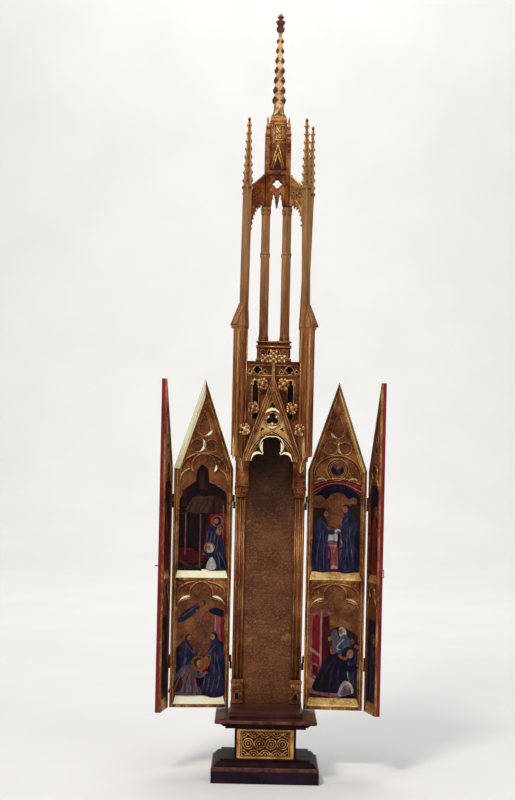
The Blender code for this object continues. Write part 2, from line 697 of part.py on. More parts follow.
def build_canopy(gilt):
    sides = (
        ("front", CANOPY_HALF_WIDTH, canopy_half_depth, 0.0),
        ("left", canopy_half_depth, CANOPY_HALF_WIDTH, math.radians(-90)),
        ("right", canopy_half_depth, CANOPY_HALF_WIDTH, math.radians(90)),
    )
    for word, half_side, half_across, turn in sides:
        gable(f"gable_{word}", half_side, half_across, turn, gilt)
        canopy_wall(f"canopy_wall_{word}", half_side, half_across, turn, gilt)
    half_x = CANOPY_HALF_WIDTH + WALL_STAND_OFF - WALL_THICKNESS - GAP
    front = canopy_centre_y - canopy_half_depth - WALL_STAND_OFF + WALL_THICKNESS + GAP
    low = (-half_x, front, gallery_top - DECK_THICKNESS)
    high = (half_x, PANEL_FRONT - GAP, gallery_top)
    solid("canopy_deck", [box(low, high)], gilt)


def square_ring(z, near, far, half, push=0.0):
    """Eight points round a rectangle, its corners pushed out for a crocket or a moulding."""
    middle = (near + far) / 2
    return [
        (far + push, -half - push, z),
        (far, 0, z),
        (far + push, half + push, z),
        (middle, half, z),
        (near - push, half + push, z),
        (near, 0, z),
        (near - push, -half - push, z),
        (middle, -half, z),
    ]


def crocketed_spire(low, high, near, far, half, top_half, crockets, reach, plain=0.1, pushed=0.62):
    """Rings of a tapering square spire with crockets on its corners; plain and pushed say how far
    up each step the shaft and the crocket are."""
    middle = (near + far) / 2
    pitch = (high - low) / (crockets + 0.6)
    rings = []
    for number in range(crockets):
        for share in (plain, pushed):
            z = low + pitch * (number + share)
            size = half + (top_half - half) * (z - low) / (high - low)
            out = reach * (0.45 + 0.55 * size / half)
            if share == pushed:
                rings.append(square_ring(z, middle - size, middle + size, size, out))
            else:
                rings.append(square_ring(z, middle - size, middle + size, size)[::2])
    z = high - pitch * 0.3
    rings.append(square_ring(z, middle - top_half, middle + top_half, top_half)[::2])
    return rings


def post_lean(side, front_post, z):
    """How far a corner post is out of line at a height: nothing at its coping, most at its tip."""
    if front_post:
        lean = FRONT_RIGHT_LEAN if side > 0 else FRONT_LEFT_LEAN
    else:
        lean = BACK_RIGHT_LEAN if side > 0 else BACK_LEFT_LEAN
    return lean * max(0.0, (z - coping_top) / (pinnacle_tip - coping_top))


def build_corner_post(name, side, front_post, gilt):
    """A post of the tower, set cornerwise: bracket, lower shaft, coping, upper shaft, pinnacle."""
    half = POST_WIDTH / 2
    depth = POST_DEPTH
    shaft_top = springing + LOWER_SHAFT_HEIGHT
    upper_top = coping_top + UPPER_SHAFT_HEIGHT
    tip = pinnacle_tip
    upper_half = UPPER_SHAFT_DEPTH / 2
    coping_half = half + WEATHERING_OVERHANG * 0.35
    coping_far = depth + WEATHERING_OVERHANG

    def section(z, far, half_width):
        return [(far, -half_width, z), (far, half_width, z), (0, half_width, z), (0, -half_width, z)]

    # Height above the springing, depth and width of the bracket as shares of the shaft's
    corbel = [(0.4, 0.46, 0.9), (0.8, 0.64, 1.0), (1.0, 1.0, 1.0)]
    rings = []
    if front_post:
        for rise, share, width in ((-1.0, 0.1, 0.4), (-0.55, 0.2, 0.62), (0.0, 0.32, 0.82)):
            z = springing + rise * BRACKET_DROP
            rings.append(section(z, share * depth, width * half))
    else:
        rings.append(section(springing, 0.38 * depth, 0.82 * half))
    for rise, share, width in corbel:
        rings.append(section(springing + rise * BRACKET_RISE, share * depth, width * half))
    rings.append(section(shaft_top - WEATHERING_FLARE, depth, half))
    rings.append(section(shaft_top, coping_far, coping_half))
    rings.append(section(shaft_top + WEATHERING_EDGE, coping_far, coping_half))
    rings.append(section(coping_top, UPPER_SHAFT_DEPTH, upper_half))
    rings.append(section(upper_top, UPPER_SHAFT_DEPTH, upper_half))
    knop = PINNACLE_HEIGHT * 0.06
    rings.append(square_ring(upper_top + knop * 0.3, 0, UPPER_SHAFT_DEPTH, upper_half, PINNACLE_KNOP_REACH))
    rings.append(square_ring(upper_top + knop * 0.7, 0, UPPER_SHAFT_DEPTH, upper_half, PINNACLE_KNOP_REACH))
    spire_low = upper_top + knop
    rings += crocketed_spire(
        spire_low, tip, 0, UPPER_SHAFT_DEPTH, upper_half * 0.86, upper_half * 0.18,
        PINNACLE_CROCKETS, PINNACLE_CROCKET_REACH,
    )
    bud = upper_half * 0.34
    for share, size in ((0.3, bud), (0.7, bud), (1.0, bud * 0.3)):
        z = tip - PINNACLE_HEIGHT * 0.045 * (1 - share)
        rings.append(square_ring(z, upper_half - size, upper_half + size, size)[::2])
    corner_y = -CANOPY_FRONT if front_post else PANEL_FRONT
    outward = math.atan2(-1 if front_post else 1, side)
    turn = Matrix.Translation((side * CANOPY_HALF_WIDTH, corner_y, 0)) @ Matrix.Rotation(outward, 4, "Z")
    placed = []
    for ring in rings:
        shift = Vector((post_lean(side, front_post, ring[0][2]), 0, 0))
        placed.append([turn @ Vector(point) + shift for point in ring])
    solid(name, [loft(placed)], gilt)


def build_flyer(name, side, way, gilt):
    """A pierced flying buttress from a turret corner down to a corner post."""
    corner = TURRET_POST_SPREAD + TURRET_POST_RADIUS / 2
    start = Vector((side * corner, canopy_centre_y + way * corner))
    top = turret_top - FLYER_SET_DOWN
    end_top = top - FLYER_DROP * 0.26
    spring = turret_top - FLYER_DROP
    lean_high = post_lean(side, way < 0, end_top)
    lean_low = post_lean(side, way < 0, spring)
    end_x = side * CANOPY_HALF_WIDTH + (lean_high + lean_low) / 2
    end = Vector((end_x, canopy_centre_y + way * canopy_half_depth))
    run = end - start
    skew = abs(math.atan2(abs(run.y), abs(run.x)) - math.pi / 4)
    trim = 3 * GAP + FLYER_THICKNESS / 2 * math.tan(skew)
    length = run.length - 2 * trim
    # The post's end stands at 45 degrees, so it is met a little off its own lean
    met = math.copysign(math.cos(math.pi / 4) / math.cos(skew), run.x)
    tilt = (lean_high - lean_low) / 2 * met
    outline = [(0, top - TURRET_HEAD_HEIGHT * 0.93), (0, top), (length + tilt, end_top)]
    outline.append((length - tilt, spring))
    reach = length * 0.76
    rise = FLYER_DROP * 0.5
    steps = 2 * FLYER_TEETH
    for step in range(steps):
        angle = math.radians(90) * step / (steps - 1)
        size = 1.0 if step % 2 else 0.93
        s = length * 0.2 + reach * size * math.cos(angle)
        outline.append((s, spring + rise * size * math.sin(angle)))
    holes = []
    for share in (0.3, 0.5, 0.7):
        hole_z = spring + FLYER_DROP * (0.73 - 0.24 * share)
        holes.append(circle(length * share, hole_z, FLYER_THICKNESS * 0.42, 4))
    shape = plate([outline, *holes], FLYER_THICKNESS)
    stand = Matrix.Rotation(math.radians(90), 4, "X")
    angle = math.atan2(run.y, run.x)
    begin = start + run.normalized() * trim
    place = Matrix.Translation((begin.x, begin.y, 0)) @ Matrix.Rotation(angle, 4, "Z") @ stand
    solid(name, [moved(shape, place)], gilt)


def diamond(x, y, z, radius):
    return [(x + radius, y, z), (x, y + radius, z), (x - radius, y, z), (x, y - radius, z)]


def build_turret(gilt):
    half = TURRET_BASE_WIDTH / 2
    profile = ((0, 1.0), (0.1, 1.0), (0.16, 0.92), (0.6, 0.92), (0.65, 1.0), (0.78, 1.0),
               (0.82, 0.91), (0.88, 0.91), (0.92, 0.97), (1.0, 0.97))
    sections = [(gallery_top + GAP + rise * (TURRET_BASE_HEIGHT - GAP), half * share, half * share)
                for rise, share in profile]
    solid("turret_base", [stack(sections, 0, canopy_centre_y)], gilt)

    places = []
    for side, side_word in ((-1, "left"), (1, "right")):
        for way, way_word in ((-1, "front"), (1, "back")):
            x = side * TURRET_POST_SPREAD
            y = canopy_centre_y + way * TURRET_POST_SPREAD
            places.append((x, y))
            low = turret_base_top + GAP
            height = turret_post_top - low
            shaft = ((0, 1.12), (0.03, 1.12), (0.045, 1.0), (0.63, 1.0), (0.64, 1.12), (0.655, 1.12),
                     (0.665, 0.96), (0.955, 0.96), (0.965, 1.12), (1.0, 1.12))
            rings = [diamond(x, y, low + rise * height, TURRET_POST_RADIUS * share) for rise, share in shaft]
            solid(f"turret_post_{way_word}_{side_word}", [loft(rings)], gilt)
            build_flyer(f"flyer_{way_word}_{side_word}", side, way, gilt)
    build_turret_head(places, gilt)


def build_turret_head(places, gilt):
    """The turret's pierced head: on each side a quatrefoil over a double arch with a pendant."""
    low = turret_post_top + GAP
    height = turret_top - low
    corners = [
        loft([diamond(x, y, low, TURRET_POST_RADIUS), diamond(x, y, turret_top, TURRET_POST_RADIUS)])
        for x, y in places
    ]
    opening = TURRET_POST_SPREAD - TURRET_POST_RADIUS
    tie = TURRET_POST_SPREAD - TURRET_POST_RADIUS * 0.4
    arch = path(
        (opening, low + height * 0.05),
        ((opening * 0.86, low + height * 0.3), -0.12, 2),
        ((opening * 0.58, low + height * 0.47), -0.22, 2),
        ((opening * 0.26, low + height * 0.32), -0.2, 2),
        ((0, low + height * 0.1), 0.08, 1),
    )
    arch = mirrored(arch + [(0, low + height * 0.1)])
    head_top = turret_top - LAP
    outline = [(tie, low + height * 0.05), (tie, head_top), (-tie, head_top), (-tie, low + height * 0.05)]
    eye = height * 0.082
    quatrefoil = foils(0, low + height * 0.745, eye, eye * 1.02, 4, 3, 0)
    sides = []
    for quarter in range(4):
        front = TURRET_POST_SPREAD + TURRET_HEAD_THICKNESS / 2
        turn = math.radians(90 * quarter)
        loops = [outline + arch[::-1], quatrefoil]
        sides.append(upright(loops, front, TURRET_HEAD_THICKNESS, turn, (0.0, canopy_centre_y)))
    solid("turret_head", [merged(corners), merged(sides)], gilt)


def build_lantern(gilt):
    """A square core between four pinnacles, with a steep gable on each side."""
    low = turret_top + GAP
    core = LANTERN_CORE_WIDTH / 2
    foot = LANTERN_SPREAD + LANTERN_PINNACLE_WIDTH / 2
    foot_top = low + LANTERN_FOOT_HEIGHT
    sections = [(low, foot, foot), (foot_top, foot, foot), (foot_top + LANTERN_SLOPE, core, core)]
    sections += [(lantern_top - LANTERN_CHAMFER, core, core), (lantern_top, core * 0.95, core * 0.95)]
    body = stack(sections, 0, canopy_centre_y)
    half = LANTERN_PINNACLE_WIDTH / 2
    shaft_top = low + LANTERN_HEIGHT * 0.62
    pinnacles = []
    for x_side in (-1, 1):
        for y_side in (-1, 1):
            x = x_side * LANTERN_SPREAD
            y = canopy_centre_y + y_side * LANTERN_SPREAD
            rings = [rectangle(x, y, z, half, half) for z in (foot_top - LANTERN_SLOPE, shaft_top)]
            steps = 3
            for step in range(steps):
                for share, swell in ((0.15, 0.82), (0.6, 1.25)):
                    z = shaft_top + (lantern_top - shaft_top) * (step + share) / steps
                    size = half * swell * (1 - 0.78 * (step + share) / steps)
                    rings.append(rectangle(x, y, z, size, size))
            rings.append(rectangle(x, y, lantern_top, half * 0.12, half * 0.12))
            pinnacles.append(loft(rings))
    gable_half = core * 0.8
    gable_apex = low + LANTERN_GABLE_RISE
    gables = []
    for quarter in range(4):
        triangle = [(-gable_half, foot_top - LAP), (gable_half, foot_top - LAP), (0, gable_apex)]
        turn = math.radians(90 * quarter)
        front = core + LANTERN_GABLE_REACH
        gables.append(upright([triangle], front, LANTERN_GABLE_THICKNESS, turn, (0.0, canopy_centre_y)))
    solid("lantern", [body, merged(pinnacles), merged(gables)], gilt)


def build_spire(gilt):
    """A bell-shaped foot, a square spire with crockets, and knobs at the top."""
    low = lantern_top + GAP
    top = low + SPIRE_HEIGHT

    def octagon(z, radius):
        diagonal = radius * math.sqrt(0.5)
        ring = square_ring(z, -radius, radius, radius)
        return [(x, y, z) if 0 in (x, y) else (math.copysign(diagonal, x), math.copysign(diagonal, y), z)
                for x, y, z in ring]

    foot = SPIRE_FOOT_WIDTH / 2
    rings = [octagon(low + rise * SPIRE_FOOT_HEIGHT, foot * share)
             for rise, share in ((0, 1.0), (0.2, 0.98), (0.55, 0.74), (1.0, 0.66))]
    knobs_low = top - SPIRE_KNOB_RADIUS * 4.9
    half = SPIRE_WIDTH / 2
    top_half = SPIRE_TOP_WIDTH / 2
    spire_low = low + SPIRE_FOOT_HEIGHT
    rings += crocketed_spire(
        spire_low, knobs_low, -half, half, half, top_half, SPIRE_CROCKETS, SPIRE_CROCKET_REACH, 0.44, 0.92
    )
    knobs = ((0.04, 0.45), (0.16, 0.9), (0.31, 0.95), (0.37, 0.6), (0.5, 0.95), (0.61, 1.1), (0.68, 0.4),
             (0.82, 0.85), (0.86, 0.35), (0.91, 0.45), (1.0, 0.12))
    for rise, share in knobs:
        rings.append(octagon(knobs_low + rise * (top - knobs_low), SPIRE_KNOB_RADIUS * share))
    placed = [[(x, y + canopy_centre_y, z) for x, y, z in ring] for ring in rings]
    solid("spire", [loft(placed)], gilt)


def flipped(points, side):
    return [(side * x, z) for x, z in points]


def sill(left, right, bottom, side):
    """A sloped sill let into the frame's sides, its face rising from the front to the board."""
    left -= TRACERY_LAP
    right += TRACERY_LAP
    bottom -= TRACERY_LAP
    top = bottom + WING_SILL_HEIGHT
    back = WING_FRAME_THICKNESS - GAP
    inset = WING_SILL_HEIGHT * 0.2
    low = [(left, GAP, bottom), (right, GAP, bottom), (right, back, bottom), (left, back, bottom)]
    high = [(left + inset, back - LAP, top), (right - inset, back - LAP, top),
            (right - inset, back, top), (left + inset, back, top)]
    return loft([[(side * x, y, z) for x, y, z in ring] for ring in (low, high)])


def inner_wing_frame(side):
    """The carved frame of a wide wing: two fields with cusped heads under a traceried gable."""
    left = wing_edge
    right = wing_width - wing_edge
    middle = (left + right) / 2
    half = (right - left) / 2
    slope = WING_GABLE_RISE / half
    drop = WING_RAKE_BAR * math.sqrt(1 + slope**2)
    field = half - WING_BAR
    lower_bottom = wing_bottom + WING_BOTTOM_RAIL
    upper_bottom = wing_bottom + WING_MIDDLE_SILL
    lower_top = upper_bottom - WING_MIDDLE_RAIL
    inner_apex = wing_apex - drop
    field_shoulder = inner_apex - slope * field
    outer = [(-half, wing_bottom), (half, wing_bottom), (half, wing_shoulder), (0, wing_apex)]
    outer.append((-half, wing_shoulder))
    lower = [(-field, lower_bottom), (field, lower_bottom), (field, lower_top), (-field, lower_top)]
    upper = [(-field, upper_bottom), (field, upper_bottom), (field, field_shoulder), (0, inner_apex)]
    upper.append((-field, field_shoulder))

    # Tracery plates, a little behind the frame's face, as large as the openings they fill
    lap = WING_BAR * 0.2
    head_bottom = lower_top - LOWER_TRACERY_HEIGHT
    cusp = (field * 0.56, lower_top - LOWER_TRACERY_HEIGHT * 0.5)
    lobe = sprung((field, head_bottom), cusp)
    lower_head = path((field, head_bottom), (cusp, lobe, 3), ((0, lower_top - TRACERY_CROWN_DROP), -0.3, 4))
    lower_head = mirrored(lower_head + [(0, lower_top - TRACERY_CROWN_DROP)])
    edge = field + lap
    plate_top = lower_top + TRACERY_LAP
    lower_plate = [(edge, head_bottom), (edge, plate_top), (-edge, plate_top)]
    lower_plate += [(-edge, head_bottom)] + lower_head[::-1]
    piercing_top = lower_top - 2 * TRACERY_CROWN_DROP
    piercing = [(field * 0.62, piercing_top), (field * 0.9, piercing_top),
                (field * 0.86, lower_top - LOWER_TRACERY_HEIGHT * 0.42)]
    lower_loops = [lower_plate, piercing, [(-x, z) for x, z in piercing]]

    upper_head_bottom = wing_shoulder - WING_GABLE_RISE * 0.2
    upper_head_top = wing_shoulder + WING_GABLE_RISE * 0.19
    cusp = (field * 0.5, upper_head_bottom + (upper_head_top - upper_head_bottom) * 0.42)
    lobe = sprung((field, upper_head_bottom), cusp)
    head = path((field, upper_head_bottom), (cusp, lobe, 3), ((0, upper_head_top), -0.36, 5))
    head = mirrored(head + [(0, upper_head_top)])
    shoulder = field_shoulder + slope * lap * 0.2
    plate_shoulder = shoulder - slope * lap
    upper_plate = [(edge, upper_head_bottom), (edge, plate_shoulder), (0, inner_apex + 3 * TRACERY_LAP)]
    upper_plate += [(-edge, plate_shoulder), (-edge, upper_head_bottom)] + head[::-1]
    light_low = upper_head_top + WING_GABLE_RISE * 0.19
    light_high = inner_apex - WING_GABLE_RISE * 0.1
    light_half = field * 0.13
    light = path((light_half, light_low), ((light_half, light_low + 0.02), 0, 1), ((0, light_high), -0.15, 2))
    light = mirrored(light + [(0, light_high)])
    eye_z = upper_head_top + WING_GABLE_RISE * 0.095
    eye = WING_GABLE_RISE * 0.042
    upper_loops = [upper_plate, light]
    for way in (-1, 1):
        upper_loops.append(foils(way * field * 0.33, eye_z, eye, eye, 3, 2, 90 + way * 4.0))

    def placed(loops, front, thickness):
        shifted = [flipped([(x + middle, z) for x, z in loop], side) for loop in loops]
        return upright(shifted, -front, thickness)

    tracery_front = WING_FRAME_THICKNESS - WING_TRACERY_THICKNESS - GAP
    return [
        placed([outer, lower, upper], 0, WING_FRAME_THICKNESS),
        placed(lower_loops, tracery_front, WING_TRACERY_THICKNESS),
        placed(upper_loops, tracery_front, WING_TRACERY_THICKNESS),
        sill(left + WING_BAR, right - WING_BAR, lower_bottom, side),
        sill(left + WING_BAR, right - WING_BAR, upper_bottom, side),
    ]


def outer_wing_frame(side):
    """The frame of a narrow wing: two fields with cusped heads under half a gable."""
    left = wing_edge
    right = outer_wing_width
    slope = WING_GABLE_RISE / (right - left)
    drop = WING_RAKE_BAR * math.sqrt(1 + slope**2)
    near = left + OUTER_WING_BAR
    far = right - OUTER_WING_BAR
    lower_bottom = wing_bottom + WING_BOTTOM_RAIL
    upper_bottom = wing_bottom + WING_MIDDLE_SILL
    lower_top = upper_bottom - WING_MIDDLE_RAIL
    near_top = wing_shoulder + slope * (near - left) - drop
    far_top = wing_shoulder + slope * (far - left) - drop
    outer = [(left, wing_bottom), (right, wing_bottom), (right, wing_apex), (left, wing_shoulder)]
    lower = [(near, lower_bottom), (far, lower_bottom), (far, lower_top), (near, lower_top)]
    upper = [(near, upper_bottom), (far, upper_bottom), (far, far_top), (near, near_top)]
    middle = (near + far) / 2
    field = (far - near) / 2
    lap = OUTER_WING_BAR * 0.2

    def head_plate(bottom, crown, top_near, top_far):
        cusp = (field * 0.5, bottom + (crown - bottom) * 0.5)
        lobe = sprung((field, bottom), cusp)
        head = path((field, bottom), (cusp, lobe, 3), ((0, crown), -0.3, 4))
        head = [(x + middle, z) for x, z in mirrored(head + [(0, crown)])]
        outline = [(far + lap, bottom), (far + lap, top_far), (near - lap, top_near), (near - lap, bottom)]
        return outline + head[::-1]

    plate_top = lower_top + TRACERY_LAP
    lower_crown = lower_top - TRACERY_CROWN_DROP
    lower_plate = head_plate(lower_top - OUTER_TRACERY_HEIGHT, lower_crown, plate_top, plate_top)
    upper_bottom_of_head = wing_shoulder - OUTER_UPPER_TRACERY_DROP
    upper_crown = wing_shoulder + OUTER_UPPER_CROWN_RISE
    near_edge = near_top + TRACERY_LAP
    upper_plate = head_plate(upper_bottom_of_head, upper_crown, near_edge, far_top + 3 * TRACERY_LAP)
    eye_z = wing_shoulder + WING_GABLE_RISE * 0.25
    eye = WING_GABLE_RISE * 0.035
    lobes = foils(far - eye * 2.2, eye_z, eye, eye, 3, 3)

    def placed(loops, front, thickness):
        return upright([flipped(loop, side) for loop in loops], -front, thickness)

    tracery_front = WING_FRAME_THICKNESS - WING_TRACERY_THICKNESS - GAP
    return [
        placed([outer, lower, upper], 0, WING_FRAME_THICKNESS),
        placed([lower_plate], tracery_front, WING_TRACERY_THICKNESS),
        placed([upper_plate, lobes], tracery_front, WING_TRACERY_THICKNESS),
        sill(near, far, lower_bottom, side),
        sill(near, far, upper_bottom, side),
    ]


def hinge_half(name, low, high, leaf, side, parent, iron):
    """Half a hinge: a knuckle on the axis and a leaf, given as (x, x, y, y) beside the axis."""
    x0, x1, y0, y1 = leaf
    low_x, high_x = sorted((side * x0, side * x1))
    shapes = [cylinder(BARREL_RADIUS, low, high), box((low_x, y0, low), (high_x, y1, high))]
    solid(name, shapes, iron, parent)


def build_hinges(joint, side, fixed, moving, fixed_leaf, iron):
    """A lower and an upper hinge: the moving half's knuckle sits on the fixed half's."""
    moving_leaf = (BARREL_RADIUS - LEAF_THICKNESS, BARREL_RADIUS, LEAF_OFFSET, LEAF_DEPTH)
    places = (("lower", wing_bottom + LOWER_HINGE_RISE), ("upper", wing_shoulder - UPPER_HINGE_DROP))
    for word, middle in places:
        low = middle - BARREL_HEIGHT / 2
        high = middle + BARREL_HEIGHT / 2
        hinge_half(f"{joint}_{word}_hinge_fixed", low, middle - GAP / 2, fixed_leaf, side, fixed, iron)
        hinge_half(f"{joint}_{word}_hinge_moving", middle + GAP / 2, high, moving_leaf, side, moving, iron)


def wire(points, closed):
    """A bent wire through points, as a mesh."""
    curve = bpy.data.curves.new("wire", "CURVE")
    curve.dimensions = "3D"
    curve.bevel_depth = WIRE_RADIUS
    curve.bevel_resolution = 1
    curve.use_fill_caps = not closed
    spline = curve.splines.new("POLY")
    spline.points.add(len(points) - 1)
    for target, point in zip(spline.points, points):
        target.co = (*point, 1)
    spline.use_cyclic_u = closed
    holder = bpy.data.objects.new("wire", curve)
    bpy.context.scene.collection.objects.link(holder)
    evaluated = holder.evaluated_get(bpy.context.evaluated_depsgraph_get())
    mesh = bpy.data.meshes.new_from_object(evaluated)
    bpy.data.objects.remove(holder)
    bm = bmesh.new()
    bm.from_mesh(mesh)
    bmesh.ops.remove_doubles(bm, verts=bm.verts, dist=1e-6)
    return mesh_of(bm)


def build_latch(left_wing, right_wing, iron):
    """An eye on one narrow wing's back and a hook on the other's."""
    x = outer_wing_width - LATCH_INSET
    z = wing_bottom + LATCH_RISE
    back = wing_thickness + GAP + WIRE_RADIUS
    eye_y = back + EYE_RADIUS
    ring = [(-x + EYE_RADIUS * math.cos(a), eye_y + EYE_RADIUS * math.sin(a), z)
            for a in (math.radians(45 * i) for i in range(8))]
    solid("wing_eye", [wire(ring, True)], iron, left_wing)
    out = back + EYE_RADIUS
    hook_end = z - HOOK_LENGTH
    hook = [(x, back, z), (x, out, z), (x, out, hook_end), (x, back + EYE_RADIUS * 0.2, hook_end)]
    solid("wing_hook", [wire(hook, False)], iron, right_wing)


def build_wings(gilt, red, iron):
    leaf_y = LEAF_DEPTH / 2
    post_leaf = (-HINGE_REACH + GAP, -HINGE_REACH + GAP + LEAF_THICKNESS, -leaf_y, leaf_y)
    wing_leaf = (-BARREL_RADIUS, -BARREL_RADIUS + LEAF_THICKNESS, LEAF_OFFSET, LEAF_DEPTH)
    board_front = WING_FRAME_THICKNESS + GAP
    outer_pivots = []
    for side, word, opened, folded in (
        (-1, "left", LEFT_INNER_OPEN_DEG, LEFT_OUTER_FOLD_DEG),
        (1, "right", RIGHT_INNER_OPEN_DEG, RIGHT_OUTER_FOLD_DEG),
    ):
        post = pivot(f"{word} post hinge line", side * hinge_x, hinge_y, 0)
        inner = pivot(f"{word} inner wing axis", side * hinge_x, hinge_y, -side * opened)
        edge = pivot(f"{word} inner wing edge", side * wing_width, 0, 0, inner)
        outer = pivot(f"{word} outer wing axis", side * wing_width, 0, -side * folded, inner)
        outer_pivots.append(outer)
        left = wing_edge
        right = wing_width - wing_edge
        outline = [(left, wing_bottom), (right, wing_bottom), (right, wing_shoulder)]
        outline += [((left + right) / 2, wing_apex), (left, wing_shoulder)]
        board = upright([flipped(outline, side)], -board_front, WING_BOARD_THICKNESS)
        solid(f"inner_wing_board_{word}", [board], red, inner)
        solid(f"inner_wing_frame_{word}", inner_wing_frame(side), gilt, inner)
        outline = [(left, wing_bottom), (outer_wing_width, wing_bottom), (outer_wing_width, wing_apex)]
        outline.append((left, wing_shoulder))
        board = upright([flipped(outline, side)], -board_front, WING_BOARD_THICKNESS)
        solid(f"outer_wing_board_{word}", [board], red, outer)
        solid(f"outer_wing_frame_{word}", outer_wing_frame(side), gilt, outer)
        build_hinges(f"{word}_inner", side, post, inner, post_leaf, iron)
        build_hinges(f"{word}_outer", side, edge, outer, wing_leaf, iron)
    build_latch(*outer_pivots, iron)


def build():
    for old in list(bpy.data.objects):
        bpy.data.objects.remove(old)
    bpy.context.scene.collection.children.link(parts)
    bpy.context.scene.collection.children.link(joining)
    gilt = material("gilding", (0.42, 0.22, 0.06), 0.42, 0.6)
    gilt_panel = material("panel gilding", (0.26, 0.12, 0.04), 0.6, 0.3)
    dark = material("dark paint", (0.03, 0.015, 0.018), 0.5, 0.0)
    red = material("red paint", (0.24, 0.03, 0.03), 0.6, 0.0)
    iron = material("iron", (0.05, 0.04, 0.035), 0.6, 0.8)
    build_base(dark, gilt)
    build_back(gilt_panel, gilt)
    build_canopy(gilt)
    for side, side_word in ((-1, "left"), (1, "right")):
        for front_post, way_word in ((True, "front"), (False, "back")):
            build_corner_post(f"corner_post_{way_word}_{side_word}", side, front_post, gilt)
    build_turret(gilt)
    build_lantern(gilt)
    build_spire(gilt)
    build_wings(gilt, red, iron)


build()
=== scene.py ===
"""Looks for the gilded tower altarpiece: gilding, paint, carving and the painted wings.

Metres, in the part's own frame: +X right, +Y back, +Z up. Each piece that is added rides on the
body it belongs to."""

import json
import random
from functools import partial
from math import atan, atan2, cos, pi, radians, sin, sqrt, tan

import bmesh
import bpy
from mathutils import Matrix, Vector


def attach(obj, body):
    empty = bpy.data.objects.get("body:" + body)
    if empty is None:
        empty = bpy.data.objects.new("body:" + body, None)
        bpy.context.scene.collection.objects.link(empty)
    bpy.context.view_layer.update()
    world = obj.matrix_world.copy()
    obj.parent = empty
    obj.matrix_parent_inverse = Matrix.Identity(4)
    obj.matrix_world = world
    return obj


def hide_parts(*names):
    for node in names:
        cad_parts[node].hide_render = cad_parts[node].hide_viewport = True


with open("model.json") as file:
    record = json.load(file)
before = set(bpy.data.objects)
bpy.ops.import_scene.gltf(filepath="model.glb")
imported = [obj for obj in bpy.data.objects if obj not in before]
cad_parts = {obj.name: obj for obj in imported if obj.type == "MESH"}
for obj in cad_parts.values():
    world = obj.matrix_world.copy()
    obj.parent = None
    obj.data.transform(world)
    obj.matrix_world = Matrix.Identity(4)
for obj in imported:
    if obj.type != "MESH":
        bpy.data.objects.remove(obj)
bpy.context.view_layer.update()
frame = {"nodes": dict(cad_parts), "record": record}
nodes = frame["nodes"]
chance = random.Random(4)
SIDES = {-1: "left", 1: "right"}
WAYS = {-1: "front", 1: "back"}
AHEAD = Vector((0, 1, 0))
UP = Vector((0, 0, 1))

# Camera: from about three and a half metres, the picture turned a little clockwise
CAMERA_DISTANCE, CAMERA_X, CAMERA_HEIGHT = 3.45, -0.027, 0.6768
LENS, ROLL_DEG = 86.3, 1.25

# Sizes of the CAD part that the finer pieces follow
GAP = 0.0003
CENTRE_Y = -0.0005
HALF_WIDTH, HALF_DEPTH = 0.051, 0.0455
SLAB_TOP = 0.1244
SPRINGING = SLAB_TOP + 0.4444
GALLERY_TOP = SPRINGING + 0.1773
GABLE_FRONT, GABLE_THICKNESS, GABLE_BAR = 0.014, 0.005, 0.0105
GABLE_FOOT, GABLE_APEX, FINIAL_TOP = SPRINGING + 0.009, SPRINGING + 0.1546, SPRINGING + 0.199
ARCH_HALF, ARCH_RISE, ARCH_BAND = 0.0365, 0.0466, 0.0075
CROWN = SPRINGING + ARCH_RISE
ROUNDEL_Z, ROUNDEL_R = SPRINGING + 0.0746, 0.0166
POST_WIDTH = 0.0115
SHAFT_TOP = SPRINGING + 0.2387
COPING_TOP = SHAFT_TOP + 0.0403
UPPER_TOP = COPING_TOP + 0.201
PINNACLE_HEIGHT = 0.129
PINNACLE_TIP = UPPER_TOP + PINNACLE_HEIGHT
POST_LEAN = {(-1, -1): 0.003, (1, -1): -0.005, (-1, 1): 0.003, (1, 1): 0.009}
TURRET_BASE_TOP = GALLERY_TOP + 0.0367
TURRET_POST_TOP = TURRET_BASE_TOP + 0.2387
TURRET_TOP = TURRET_POST_TOP + 0.0587
LANTERN_TOP = TURRET_TOP + 0.104
SPREAD, POST_RADIUS = 0.019, 0.008
SPIRE_LOW, SPIRE_HIGH = 1.1845 + 0.015, 1.1845 + 0.1505
SPIRE_TOP = LANTERN_TOP + GAP + 0.1887
KNOBS_LOW = SPIRE_TOP - 0.0078 * 4.9
HINGE_X, HINGE_Y = 0.066, 0.050
WING_WIDTH, OUTER_WIDTH, WING_EDGE = 0.112, 0.0657, 0.0021
WING_BOTTOM = 0.1145
WING_SHOULDER = SPRINGING - 0.0186
WING_APEX = WING_SHOULDER + 0.1616
FRAME_DEPTH = 0.0037
OPENED = {-1: 6.5, 1: 3.0}
FOLDED = {-1: 73.8, 1: 72.5}


# ---- Materials
def node(tree, kind, values=None, links=None):
    """A shader node with some inputs set and some linked."""
    made = tree.nodes.new("ShaderNode" + kind)
    for name, value in (values or {}).items():
        made.inputs[name].default_value = value
    for name, socket in (links or {}).items():
        tree.links.new(socket, made.inputs[name])
    return made


def new_material(name, roughness=0.5, metallic=0.0, gloss=0.3):
    made = bpy.data.materials.new(name)
    made.use_nodes = True
    shader = made.node_tree.nodes["Principled BSDF"]
    shader.inputs["Roughness"].default_value = roughness
    shader.inputs["Metallic"].default_value = metallic
    shader.inputs["Specular IOR Level"].default_value = gloss
    return made, made.node_tree, shader


